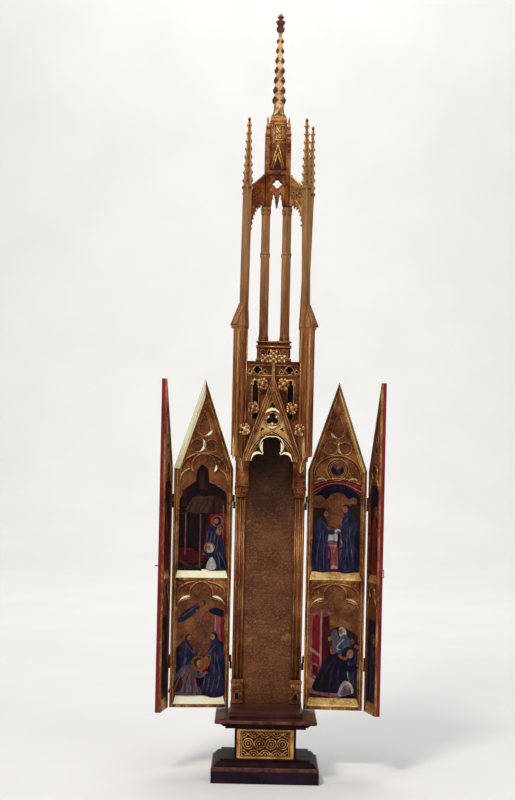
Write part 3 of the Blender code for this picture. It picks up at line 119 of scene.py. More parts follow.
def noise(tree, scale, detail=6.0, roughness=0.6, stretch=(1, 1, 1), offset=0.0):
    coords = node(tree, "TexCoord").outputs["Object"]
    moved = node(tree, "Mapping", {"Scale": stretch, "Location": (offset, offset * 0.7, offset * 1.3)},
                 {"Vector": coords}).outputs["Vector"]
    values = {"Scale": scale, "Detail": detail, "Roughness": roughness}
    return node(tree, "TexNoise", values, {"Vector": moved}).outputs["Fac"]


def ramp(tree, value, *stops):
    """Colours at positions along a value; a single number stands for a grey."""
    made = node(tree, "ValToRGB", None, {"Fac": value})
    elements = made.color_ramp.elements
    while len(elements) < len(stops):
        elements.new(0.5)
    for element, (position, colour) in zip(elements, stops):
        element.position = position
        element.color = (*(colour if isinstance(colour, tuple) else (colour,) * 3), 1)
    return made.outputs["Color"]


def mix(tree, factor, first, second, blend="MIX"):
    made = node(tree, "Mix")
    made.data_type = "RGBA"
    made.blend_type = blend
    if isinstance(factor, float):
        made.inputs["Factor"].default_value = factor
    else:
        tree.links.new(factor, made.inputs["Factor"])
    for name, value in (("A", first), ("B", second)):
        target = next(s for s in made.inputs if s.name == name and s.type == "RGBA")
        if isinstance(value, tuple):
            target.default_value = (*value, 1)
        else:
            tree.links.new(value, target)
    return next(s for s in made.outputs if s.type == "RGBA")


def bump(tree, shader, height, strength, distance=0.001):
    made = node(tree, "Bump", {"Strength": strength, "Distance": distance}, {"Height": height})
    tree.links.new(made.outputs["Normal"], shader.inputs["Normal"])


def graded(tree, value, low, high, start=0.0, end=1.0):
    values = {"From Min": low, "From Max": high, "To Min": start, "To Max": end}
    return node(tree, "MapRange", values, {"Value": value}).outputs["Result"]


def place_of(tree):
    """The object's own X, Y and Z."""
    return node(tree, "SeparateXYZ", None, {"Vector": node(tree, "TexCoord").outputs["Object"]}).outputs


def sums(tree, operation, *sockets):
    made = node(tree, "Math")
    made.operation = operation
    for socket, target in zip(sockets, made.inputs):
        tree.links.new(socket, target)
    return made.outputs[0]


def recoloured(made, factor, colour):
    """Mixes a colour into a finished material, where factor(tree) says."""
    tree = made.node_tree
    base = tree.nodes["Principled BSDF"].inputs["Base Color"]
    tree.links.new(mix(tree, factor(tree), base.links[0].from_socket, colour), base)


def gilding(name, bright, middle, dull, bole=(0.13, 0.022, 0.014), rough=(0.30, 0.52), metallic=0.7,
            stretch=(1, 1, 1), hollow_grime_and_shade=(0.035, 0.012, 0.008), grain=0.45):
    """Worn gold leaf: bright and dull patches, red bole where it is rubbed, flecks of painted glint, and darkening in
    the hollows that is grime as well as painted shade.
    """
    made, tree, shader = new_material(name, 0.4, metallic)
    leaf = ramp(tree, noise(tree, 34.0, 8.0, 0.62, stretch), (0.36, dull), (0.50, middle), (0.66, bright))
    fine = noise(tree, 420.0, 4.0, 0.7, stretch, offset=3.0)
    colour = mix(tree, 0.85, leaf, ramp(tree, fine, (0.36, grain), (0.62, 1.0)), "MULTIPLY")
    rubbed = ramp(tree, noise(tree, 90.0, 8.0, 0.78, stretch, offset=7.0), (0.56, 0), (0.66, 0.85))
    colour = mix(tree, rubbed, colour, bole)
    # Painted glints: small flecks of the bright colour over the leaf
    glint_flecks = ramp(tree, noise(tree, 230.0, 5.0, 0.75, stretch, offset=13.0), (0.54, 0), (0.66, 0.8))
    colour = mix(tree, glint_flecks, colour, bright)
    # Painted shade as well as grime: the colour darkens in the hollows that ambient occlusion finds
    hollow = node(tree, "AmbientOcclusion", {"Distance": 0.006})
    hollow.samples = 4
    colour = mix(tree, ramp(tree, hollow.outputs["AO"], (0.15, 0), (0.75, 1)), hollow_grime_and_shade, colour)
    tree.links.new(colour, shader.inputs["Base Color"])
    tree.links.new(ramp(tree, fine, (0.3, rough[0]), (0.7, rough[1])), shader.inputs["Roughness"])
    bump(tree, shader, noise(tree, 500.0, 4.0, 0.7, stretch, offset=5.0), 0.35, 0.0006)
    return made


def paint(name, colour, shade, scale=60.0, roughness=0.5, metallic=0.0, stretch=(1, 1, 1), gloss=0.12):
    made, tree, shader = new_material(name, roughness, metallic, gloss)
    tone = ramp(tree, noise(tree, scale, 7.0, 0.65, stretch), (0.38, shade), (0.62, colour))
    specks = ramp(tree, noise(tree, scale * 9, 3.0, 0.7, offset=2.0), (0.3, 0.72), (0.6, 1.0))
    tree.links.new(mix(tree, 0.8, tone, specks, "MULTIPLY"), shader.inputs["Base Color"])
    bump(tree, shader, noise(tree, scale * 7, 3.0), 0.15)
    return made


gold = gilding("gold", (0.62, 0.245, 0.072), (0.268, 0.080, 0.029), (0.118, 0.029, 0.014))
post_gold = gilding("post gold", (0.95, 0.47, 0.185), (0.49, 0.160, 0.060), (0.205, 0.055, 0.026),
                    stretch=(2.2, 2.2, 0.16))
frame_gold = gilding("frame gold", (0.84, 0.40, 0.125), (0.37, 0.124, 0.044), (0.165, 0.047, 0.020),
                     stretch=(1.4, 1.4, 0.5))
light_gold = gilding("light gold", (0.98, 0.62, 0.20), (0.66, 0.33, 0.09), (0.30, 0.115, 0.035),
                     rough=(0.24, 0.42))
# Pale, sunlit and yellow gold are leaf that catches the light: painted highlights on sills, rakes, arches, cusps,
# crocket tips and brackets
pale_gold = gilding("pale gold", (1.0, 0.90, 0.58), (0.96, 0.76, 0.38), (0.58, 0.36, 0.12),
                    rough=(0.22, 0.34), metallic=0.5)
red_gold = gilding("rubbed gold", (0.34, 0.125, 0.05), (0.17, 0.052, 0.026), (0.09, 0.024, 0.016))
sunlit_gold = gilding("sunlit gold", (1.0, 0.99, 0.82), (1.0, 0.98, 0.74), (1.0, 0.92, 0.52),
                      bole=(0.80, 0.60, 0.30), rough=(0.3, 0.4), metallic=0.03, hollow_grime_and_shade=(0.85, 0.68, 0.32), grain=0.94)
yellow_gold = gilding("yellow gold", (1.0, 0.76, 0.34), (0.80, 0.50, 0.165), (0.45, 0.23, 0.065),
                      rough=(0.24, 0.40), metallic=0.35, grain=0.6)
roll_gold = gilding("roll gold", (0.96, 0.58, 0.25), (0.53, 0.232, 0.083), (0.25, 0.086, 0.034))
ground_gold = gilding("ground gold", (0.34, 0.127, 0.042), (0.19, 0.060, 0.024), (0.10, 0.029, 0.014),
                      rough=(0.38, 0.6), metallic=0.5)
spire_gold = gilding("spire gold", (1.0, 0.74, 0.42), (0.72, 0.46, 0.22), (0.36, 0.19, 0.085), grain=0.6)
column_gold = gilding("column gold", (0.70, 0.265, 0.080), (0.29, 0.080, 0.031), (0.12, 0.032, 0.016),
                      stretch=(3, 3, 0.25))
panel_gold = gilding("panel gold", (0.98, 0.53, 0.175), (0.62, 0.28, 0.083), (0.31, 0.112, 0.038))
# Dark brown for grooves, sunk steps and lines under rolls: painted shade
shade_brown = paint("brown painted shade", (0.060, 0.020, 0.012), (0.022, 0.008, 0.006), 90.0, 0.55)
# Black for deep openings, niches and the canopy's inside: painted shade
black_shade = paint("black painted shade", (0.012, 0.005, 0.005), (0.005, 0.003, 0.003), 90.0, 0.7)
dark = paint("dark paint", (0.026, 0.009, 0.012), (0.010, 0.004, 0.006), 40.0, 0.55, gloss=0.05)
navy = paint("blue black paint", (0.024, 0.011, 0.024), (0.011, 0.006, 0.012), 34.0, 0.50, gloss=0.08)
# The base's rolls and lips: the dark paint lighter for wear and as a painted highlight
dark_edge_worn_and_highlit = paint("dark paint, worn and highlit", (0.17, 0.058, 0.038), (0.040, 0.014, 0.012), 70.0, 0.38)
dark_sheen = paint("dark paint, rubbed", (0.085, 0.022, 0.018), (0.022, 0.008, 0.008), 46.0, 0.30,
                   stretch=(0.3, 1, 2))
red = paint("red paint", (0.25, 0.022, 0.030), (0.14, 0.012, 0.018), 26.0, 0.45)
iron = paint("iron", (0.05, 0.038, 0.032), (0.018, 0.013, 0.010), 300.0, 0.5, metallic=0.8)


def back_panel_material(middle):
    """The statue place's back: dull gold with short combed dashes, a painted shadow of the canopy darkening it towards
    the head, a plain far face.
    """
    made, tree, shader = new_material("combed gold", 0.55, 0.35)
    base = ramp(tree, noise(tree, 22.0, 9.0, 0.7), (0.36, (0.080, 0.024, 0.012)), (0.64, (0.192, 0.064, 0.025)))
    dashes = noise(tree, 60.0, 6.0, 0.75, (0.55, 1, 7.0), offset=1.0)
    colour = mix(tree, 0.85, base, ramp(tree, dashes, (0.44, 0.72), (0.60, 1.20)), "MULTIPLY")
    grains = ramp(tree, noise(tree, 330.0, 3.0, 0.6, offset=9.0), (0.50, 0), (0.70, 1))
    colour = mix(tree, mix(tree, 0.5, (0.0, 0.0, 0.0), grains), colour, (0.42, 0.21, 0.07))
    patch = ramp(tree, noise(tree, 26.0, 8.0, 0.7, (1, 1, 1.4), offset=11.0), (0.61, 0), (0.69, 0.8))
    colour = mix(tree, patch, colour, (0.44, 0.19, 0.055))
    place = place_of(tree)
    # Painted shadow of the canopy: the back darkens towards the head
    rise = graded(tree, place["Z"], SPRINGING - 0.16, SPRINGING + 0.01)
    colour = mix(tree, 1.0, colour, ramp(tree, rise, (0.0, 1.0), (0.55, 0.62), (1.0, 0.16)), "MULTIPLY")
    board = ramp(tree, noise(tree, 14.0, 8.0, 0.65, (3.0, 3.0, 0.35), offset=17.0),
                 (0.35, (0.085, 0.036, 0.022)), (0.65, (0.20, 0.088, 0.046)))
    colour = mix(tree, graded(tree, place["Y"], middle, middle + 0.0005), colour, board)
    tree.links.new(colour, shader.inputs["Base Color"])
    bump(tree, shader, dashes, 0.45, 0.001)
    return made


def past_shaft(tree):
    """1 outside the square spire's shaft, on its crockets."""
    place = place_of(tree)
    widest = sums(tree, "MAXIMUM", sums(tree, "ABSOLUTE", place["X"]), sums(tree, "ABSOLUTE", place["Y"]))
    shaft = graded(tree, place["Z"], SPIRE_LOW, SPIRE_HIGH, 0.0088, 0.0030)
    return graded(tree, sums(tree, "SUBTRACT", widest, shaft), 0.0, 0.0012)


# The posts' gilding is paler towards their tops, and the spire's crockets are dark
recoloured(post_gold, lambda tree: graded(tree, place_of(tree)["Z"], 0.78, 0.92, 0.0, 0.40), (0.76, 0.50, 0.23))
recoloured(spire_gold, past_shaft, (0.13, 0.048, 0.026))
combed = back_panel_material(sum(corner[1] for corner in nodes["back_panel"].bound_box) / 8)
finishes = {"gilding": gold, "panel_gilding": combed, "dark_paint": dark, "red_paint": red, "iron": iron}
slots = {entry["node"]: entry["material_slot"] for entry in frame["record"]["subparts"]}
for name, solid in nodes.items():
    finish = finishes[slots[name]]
    if name.startswith(("corner_post", "turret_post")):
        finish = post_gold
    elif name == "spire":
        finish = spire_gold
    # The lit right flyer gets brighter gold: painted light
    elif name == "flyer_front_right":
        finish = roll_gold
    solid.data.materials.clear()
    solid.data.materials.append(finish)


# ---- Shapes
def mesh_of(bm, smooth=False):
    bmesh.ops.recalc_face_normals(bm, faces=bm.faces)
    for face in bm.faces:
        face.smooth = smooth
    mesh = bpy.data.meshes.new("shape")
    bm.to_mesh(mesh)
    bm.free()
    return mesh


def loft(rings, closed=True, smooth=False):
    """A skin through rings of points; closed caps both ends."""
    bm = bmesh.new()
    rows = [[bm.verts.new(point) for point in ring] for ring in rings]
    for low, high in zip(rows, rows[1:]):
        for i in range(len(low)):
            j = (i + 1) % len(low)
            bm.faces.new((low[i], low[j], high[j], high[i]))
    if closed:
        bm.faces.new(rows[0])
        bm.faces.new(rows[-1])
    return mesh_of(bm, smooth)


def upright(loops, front, thickness, edge=0.0):
    """A standing plate: outlines (x, z) with holes, its face at y = -front, its edges rounded."""
    curve = bpy.data.curves.new("outline", "CURVE")
    curve.dimensions = "2D"
    curve.fill_mode = "BOTH"
    curve.extrude = thickness / 2 - edge
    curve.bevel_depth = edge
    curve.bevel_resolution = 2
    curve.offset = -edge
    for loop in loops:
        spline = curve.splines.new("POLY")
        spline.points.add(len(loop) - 1)
        for point, (x, y) in zip(spline.points, loop):
            point.co = (x, y, 0, 1)
        spline.use_cyclic_u = True
    holder = bpy.data.objects.new("outline", curve)
    bpy.context.scene.collection.objects.link(holder)
    evaluated = holder.evaluated_get(bpy.context.evaluated_depsgraph_get())
    flat = bpy.data.meshes.new_from_object(evaluated)
    bpy.data.objects.remove(holder)
    bpy.data.curves.remove(curve)
    bm = bmesh.new()
    bm.from_mesh(flat)
    bmesh.ops.remove_doubles(bm, verts=bm.verts, dist=1e-6)
    mesh = mesh_of(bm)
    mesh.transform(Matrix.Translation((0, -front + thickness / 2, 0)) @ Matrix.Rotation(radians(90), 4, "X"))
    return mesh


def rod(points, radius, sides=6, flat=1.0, closed=False):
    """A roll moulding along a line of points in an XZ plane; flat squeezes it towards the plane."""
    rings = []
    count = len(points)
    turns = [2 * pi * (step + 0.5) / sides for step in range(sides)]
    for i, point in enumerate(points):
        before = Vector(points[(i - 1) % count] if closed or i else point)
        after = Vector(points[(i + 1) % count] if closed or i < count - 1 else point)
        across = (after - before).normalized().cross(AHEAD).normalized()
        rings.append([Vector(point) + across * radius * cos(a) + AHEAD * radius * flat * sin(a) for a in turns])
    if closed:
        rings.append(rings[0])
    return loft(rings, closed=not closed, smooth=True)


def level_rod(points, y, radius, sides=6, flat=1.0, closed=False):
    """A rod through (x, z) points at one depth."""
    return rod([(x, y, z) for x, z in points], radius, sides, flat, closed)


def ring_rod(points, y, radius, sides=5):
    return level_rod(points, y, radius, sides, closed=True)


def bar(start, end, radius):
    """A straight six-sided bar between two points, shaded as round."""
    start, end = Vector(start), Vector(end)
    along = (end - start).normalized()
    across = along.cross(UP if abs(along.z) < 0.9 else Vector((1, 0, 0))).normalized()
    up = across.cross(along)
    turns = [2 * pi * (k + 0.5) / 6 for k in range(6)]
    return loft([[here + across * radius * cos(a) + up * radius * sin(a) for a in turns] for here in (start, end)],
                smooth=True)


def cylinder(x, y, low, high, radius, sides=6):
    turns = [2 * pi * (k + 0.5) / sides for k in range(sides)]
    return loft([[(x + radius * cos(a), y + radius * sin(a), z) for a in turns] for z in (low, high)], smooth=True)


def ball(centre, radii, segments=8, rings=6):
    bm = bmesh.new()
    bmesh.ops.create_uvsphere(bm, u_segments=segments, v_segments=rings, radius=1)
    bmesh.ops.scale(bm, vec=radii, verts=bm.verts)
    bmesh.ops.translate(bm, vec=centre, verts=bm.verts)
    return mesh_of(bm, smooth=True)


BLOCK_EDGE = 0.0004


def block(x0, x1, y0, y1, z0, z1):
    """A box whose upright and level edges are a little rounded."""
    return loft([[(x0 + inset, y0 + inset, z), (x1 - inset, y0 + inset, z), (x1 - inset, y1, z), (x0 + inset, y1, z)]
                 for z, inset in ((z0, BLOCK_EDGE), (z0 + BLOCK_EDGE, 0.0), (z1 - BLOCK_EDGE, 0.0), (z1, BLOCK_EDGE))])


def swept(sections, y=0.0):
    """A moulding that runs round a rectangle: (height, half width, half depth) from the bottom up."""
    return loft([[(-hx, y - hy, z), (hx, y - hy, z), (hx, y + hy, z), (-hx, y + hy, z)] for z, hx, hy in sections])


def hook(x, y, z, direction, size):
    """A small crocket that grows from a corner and curls upward."""
    out = Vector((cos(direction), sin(direction), 0))
    across = Vector((-out.y, out.x, 0))
    rings = []
    for run, rise, half in ((-0.2, -0.75, 0.16), (0.25, -0.5, 0.34), (0.62, -0.05, 0.42), (0.75, 0.40, 0.36),
                            (0.5, 0.66, 0.24), (0.2, 0.6, 0.10)):
        centre = Vector((x, y, z)) + out * run * size + UP * rise * size
        thick = half * size * 0.9
        wide, lift = across * half * size, UP * thick * 0.2
        rings.append([centre + wide + lift, centre + out * thick, centre - wide + lift, centre - out * thick * 0.6])
    return loft(rings, smooth=True)


def leaf(x, y, z, width, height, depth, turn=0.0):
    """A crocket: a leaf that curls over, seen as a boss with four knobs and a stalk."""
    made = [ball((0, 0, 0), (0.42 * width, depth, 0.42 * height), 10, 7)]
    for number in range(4):
        angle = pi / 4 + pi / 2 * number + chance.uniform(-0.15, 0.15)
        dx, dz = cos(angle) * width, sin(angle) * height
        for out, ahead, size, thick, around in ((0.62, 0.25, 0.34, 0.7, (8, 6)), (0.80, 0.55, 0.17, 0.4, (6, 5)),
                                                (0.35, 0.75, 0.12, 0.35, (6, 4))):
            radii = (size * width, depth * thick, size * height)
            made.append(ball((dx * out, -depth * ahead, dz * out), radii, *around))
    for number in range(4):
        angle = pi / 2 * number
        made.append(ball((cos(angle) * width * 0.68, 0, sin(angle) * height * 0.68),
                         (0.2 * width, depth * 0.5, 0.2 * height), 6, 5))
    mesh = merged(made)
    mesh.transform(Matrix.Translation((x, y, z)) @ Matrix.Rotation(turn, 4, "Y"))
    return mesh


def merged(meshes):
    bm = bmesh.new()
    for mesh in meshes:
        bm.from_mesh(mesh)
        bpy.data.meshes.remove(mesh)
    made = bpy.data.meshes.new("shape")
    bm.to_mesh(made)
    bm.free()
    return made


def moulded(outer, inner, profile, side=1, closed=False, extra=None):
    """A moulded strip between two lines of corners; extra gives single faces (segment, step) a finish.

    The profile runs across it: share of the width, depth from the face, and the finish that comes next."""
    bm = bmesh.new()
    rows = []
    for (x0, z0), (x1, z1) in zip(outer, inner):
        rows.append([bm.verts.new((side * (x0 + (x1 - x0) * t), y, z0 + (z1 - z0) * t)) for t, y, _ in profile])
    for i in range(len(rows) if closed else len(rows) - 1):
        near, far = rows[i], rows[(i + 1) % len(rows)]
        for j in range(len(profile)):
            k = (j + 1) % len(profile)
            face = bm.faces.new((near[j], near[k], far[k], far[j]))
            face.material_index = (extra or {}).get((i, j), profile[j][2])
    if not closed:
        bm.faces.new(rows[0])
        bm.faces.new(rows[-1])
    return mesh_of(bm)


# ---- Outlines: lists of (x, z)
def bow(start, end, bulge, steps):
    """Points along a circular arc, its end left out; bulge is its rise over its chord."""
    start = Vector(start)
    chord = Vector(end) - start
    across = Vector((-chord.y, chord.x))
    if not bulge:
        return [tuple(start)]
    half = 2 * atan(2 * bulge)
    points = []
    for step in range(steps):
        turn = half - 2 * half * step / steps
        along = 0.5 - sin(turn) / (2 * sin(half))
        aside = (cos(turn) - cos(half)) / (2 * sin(half))
        points.append(tuple(start + chord * along + across * aside))
    return points


def sprung(start, end):
    """The bulge of an arc that leaves its start straight up."""
    return -tan(atan2(abs(start[0] - end[0]), end[1] - start[1]) / 2) / 2


def mirrored(points):
    return points + [(-x, y) for x, y in reversed(points) if abs(x) > 1e-9]


def arched(start, *runs):
    """Both halves of a head: from its right foot through arcs (end, bulge, steps) to its crown and down."""
    points = []
    for end, bulge, steps in runs:
        points += bow(start, end, bulge, steps)
        start = end
    return mirrored(points + [start])


def light_shape(half, foot, spring, top, steps=3):
    """A narrow light with a small pointed head."""
    return arched((half, foot), ((half, spring), 0, 1), ((0, top), -0.2, steps))


def foils(x, y, reach, lobe, count, steps, turn=90.0):
    points = []
    half = pi / count
    cusp = reach * cos(half) + sqrt(lobe**2 - (reach * sin(half)) ** 2)
    sweep = atan2(cusp * sin(half), cusp * cos(half) - reach)
    for number in range(count):
        middle = radians(turn) + 2 * half * number
        for step in range(steps):
            angle = middle - sweep + 2 * sweep * step / steps
            points.append((x + reach * cos(middle) + lobe * cos(angle), y + reach * sin(middle) + lobe * sin(angle)))
    return points


def circle(x, y, radius, sides):
    angles = [2 * pi * (i + 0.5) / sides for i in range(sides)]
    return [(x + radius * cos(a), y + radius * sin(a)) for a in angles]


def shift(points, x, side=1):
    return [(side * (px + x), pz) for px, pz in points]


def crescent(x, z, radius, start, end, width, y, rise, side=1):
    """A cusp's leaf: a curved sliver that swells in its middle, made to carry a painted highlight."""
    outer, inner = [], []
    for step in range(9):
        angle = radians(start + (end - start) * step / 8)
        swell = (width * sin(pi * step / 8) + 0.0003) / 2
        outer.append((side * (x + (radius + swell) * cos(angle)), z + (radius + swell) * sin(angle)))
        inner.append((side * (x + (radius - swell) * cos(angle)), z + (radius - swell) * sin(angle)))
    return upright([outer + inner[::-1]], -(y - rise), rise)


def corners(x, y, reach, start=pi / 4):
    """Four places round a point: x, y and the direction."""
    return [(x + reach * cos(a), y + reach * sin(a), a) for a in (start + pi / 2 * k for k in range(4))]


def quarter_turns():
    """The tower's four sides."""
    return [Matrix.Translation((0, CENTRE_Y, 0)) @ Matrix.Rotation(radians(90 * k), 4, "Z") for k in range(4)]


def piece(name, meshes, finish, body="tower", slot="gilding", stands_for=(), matrix=None):
    """An object made of these meshes that rides on a body and may stand for CAD nodes."""
    mesh = merged(meshes) if isinstance(meshes, list) else meshes
    if matrix is not None:
        mesh.transform(matrix)
    mesh.name = name
    for material in finish if isinstance(finish, list) else [finish]:
        mesh.materials.append(material)
    made = bpy.data.objects.new(name, mesh)
    bpy.context.scene.collection.objects.link(made)
    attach(made, body)
    if stands_for:
        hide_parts(*stands_for)
    return made


# ---- Wings
WING_MIDDLE = WING_WIDTH / 2
WING_HALF = WING_MIDDLE - WING_EDGE
WING_BAR, OUTER_BAR = 0.0105, 0.010
FIELD = WING_HALF - WING_BAR
WING_SLOPE = (WING_APEX - WING_SHOULDER) / WING_HALF
INNER_APEX = WING_APEX - WING_BAR * sqrt(1 + WING_SLOPE**2)
FIELD_SHOULDER = INNER_APEX - WING_SLOPE * FIELD
OUTER_NEAR, OUTER_FAR = WING_EDGE + OUTER_BAR, OUTER_WIDTH - OUTER_BAR
LOWER_BOTTOM, UPPER_BOTTOM = WING_BOTTOM + 0.0059, WING_BOTTOM + 0.236
LOWER_TOP = UPPER_BOTTOM - 0.004
SILL, SILL_MITRE, SILL_OVERLAP = 0.0154, 0.27, 0.0042
OVERLAP = 0.0005
ROUND_Z = WING_SHOULDER + 0.0026
# Front, thickness and rounding of the ground and of the tracery
GROUND_PLATE = (-0.0034, 0.0003)
TRACERY_PLATE = (-0.0016, 0.0016, 0.0003)
CUSP_FACE, CUSP_RISE = 0.0013, 0.0011

# Across the frame and the rails: share of the width, depth from the face, and which finish comes next
STRIP = [(0, 0.0037, 0), (0, 0.0005, 0), (0.03, 0, 0), (0.26, 0, 1), (0.30, 0.0013, 1), (0.36, 0.0013, 2),
         (0.40, 0.0003, 2), (0.50, 0, 2), (0.58, 0.0003, 1), (0.62, 0.0015, 1), (0.68, 0.0015, 3),
         (0.97, 0.0029, 3), (1, 0.0029, 3), (1, 0.0036, 0)]
RAIL = [(0, 0.0037, 0), (0, 0.0005, 0), (0.08, 0, 0), (0.9, 0, 1), (1, 0.0006, 1), (1, 0.0036, 0)]


def wing_place(side, outer=False):
    place = Matrix.Translation((side * HINGE_X, HINGE_Y, 0)) @ Matrix.Rotation(radians(-side * OPENED[side]), 4, "Z")
    if outer:
        place = place @ Matrix.Translation((side * WING_WIDTH, 0, 0))
        place = place @ Matrix.Rotation(radians(-side * FOLDED[side]), 4, "Z")
    return place


def sill_mesh(near, far, bottom, side):
    """A sloped sill: a small rounded nose, the slope, and mitred ends."""
    back = FRAME_DEPTH - GAP
    rings = []
    for share, y in ((0.0, 0.0012), (0.02, GAP), (0.12, GAP), (0.17, 0.0008), (0.9, 0.0028), (1.0, back - 0.0003)):
        cut = SILL * SILL_MITRE * share - SILL_OVERLAP
        a, b = side * (near + cut), side * (far - cut)
        rings.append([(x, depth, bottom + share * SILL) for x, depth in ((a, y), (b, y), (b, back), (a, back))])
    return loft(rings)


def trefoil(centre, radius, foot):
    """Half of a trefoiled head in two runs, foot to crown: a falling side foil, then the round middle foil."""
    turn, steps = radians(-25), 8
    inset = radius * cos(turn) + 0.0015
    top = centre + radius * sin(turn) + 0.0040
    foil = [(inset + (FIELD - inset) * cos(a), foot + (top - foot) * sin(a))
            for a in (pi / 2 * step / steps for step in range(steps + 1))]
    ring = [(radius * cos(a), centre + radius * sin(a))
            for a in (turn + (pi / 2 - turn) * step / (steps + 2) for step in range(steps + 2))]
    return foil, ring + [(0.0, centre + radius)]


def wing_frame(add, names, side, lines, near, far, finishes, sill_finish, ground, extra=None):
    """What both kinds of wing have: a moulded frame with its rails, two sills and the gold ground."""
    kind, node_name = names
    word = SIDES[side]
    meshes = [moulded(*lines, STRIP, side, extra=extra)]
    for low, high in ((WING_BOTTOM, LOWER_BOTTOM), (LOWER_TOP, UPPER_BOTTOM)):
        meshes.append(moulded([(near, low), (far, low)], [(near, high), (far, high)], RAIL, side))
    add(f"{kind}_moulding_{word}", meshes, finishes, stands_for=[f"{node_name}_{word}"])
    add(f"{kind}_sills_{word}", [sill_mesh(near, far, bottom, side) for bottom in (LOWER_BOTTOM, UPPER_BOTTOM)],
        sill_finish)
    add(f"{kind}_ground_{word}", upright([shift(ground, 0, side)], *GROUND_PLATE), ground_gold, slot="panel_gilding")


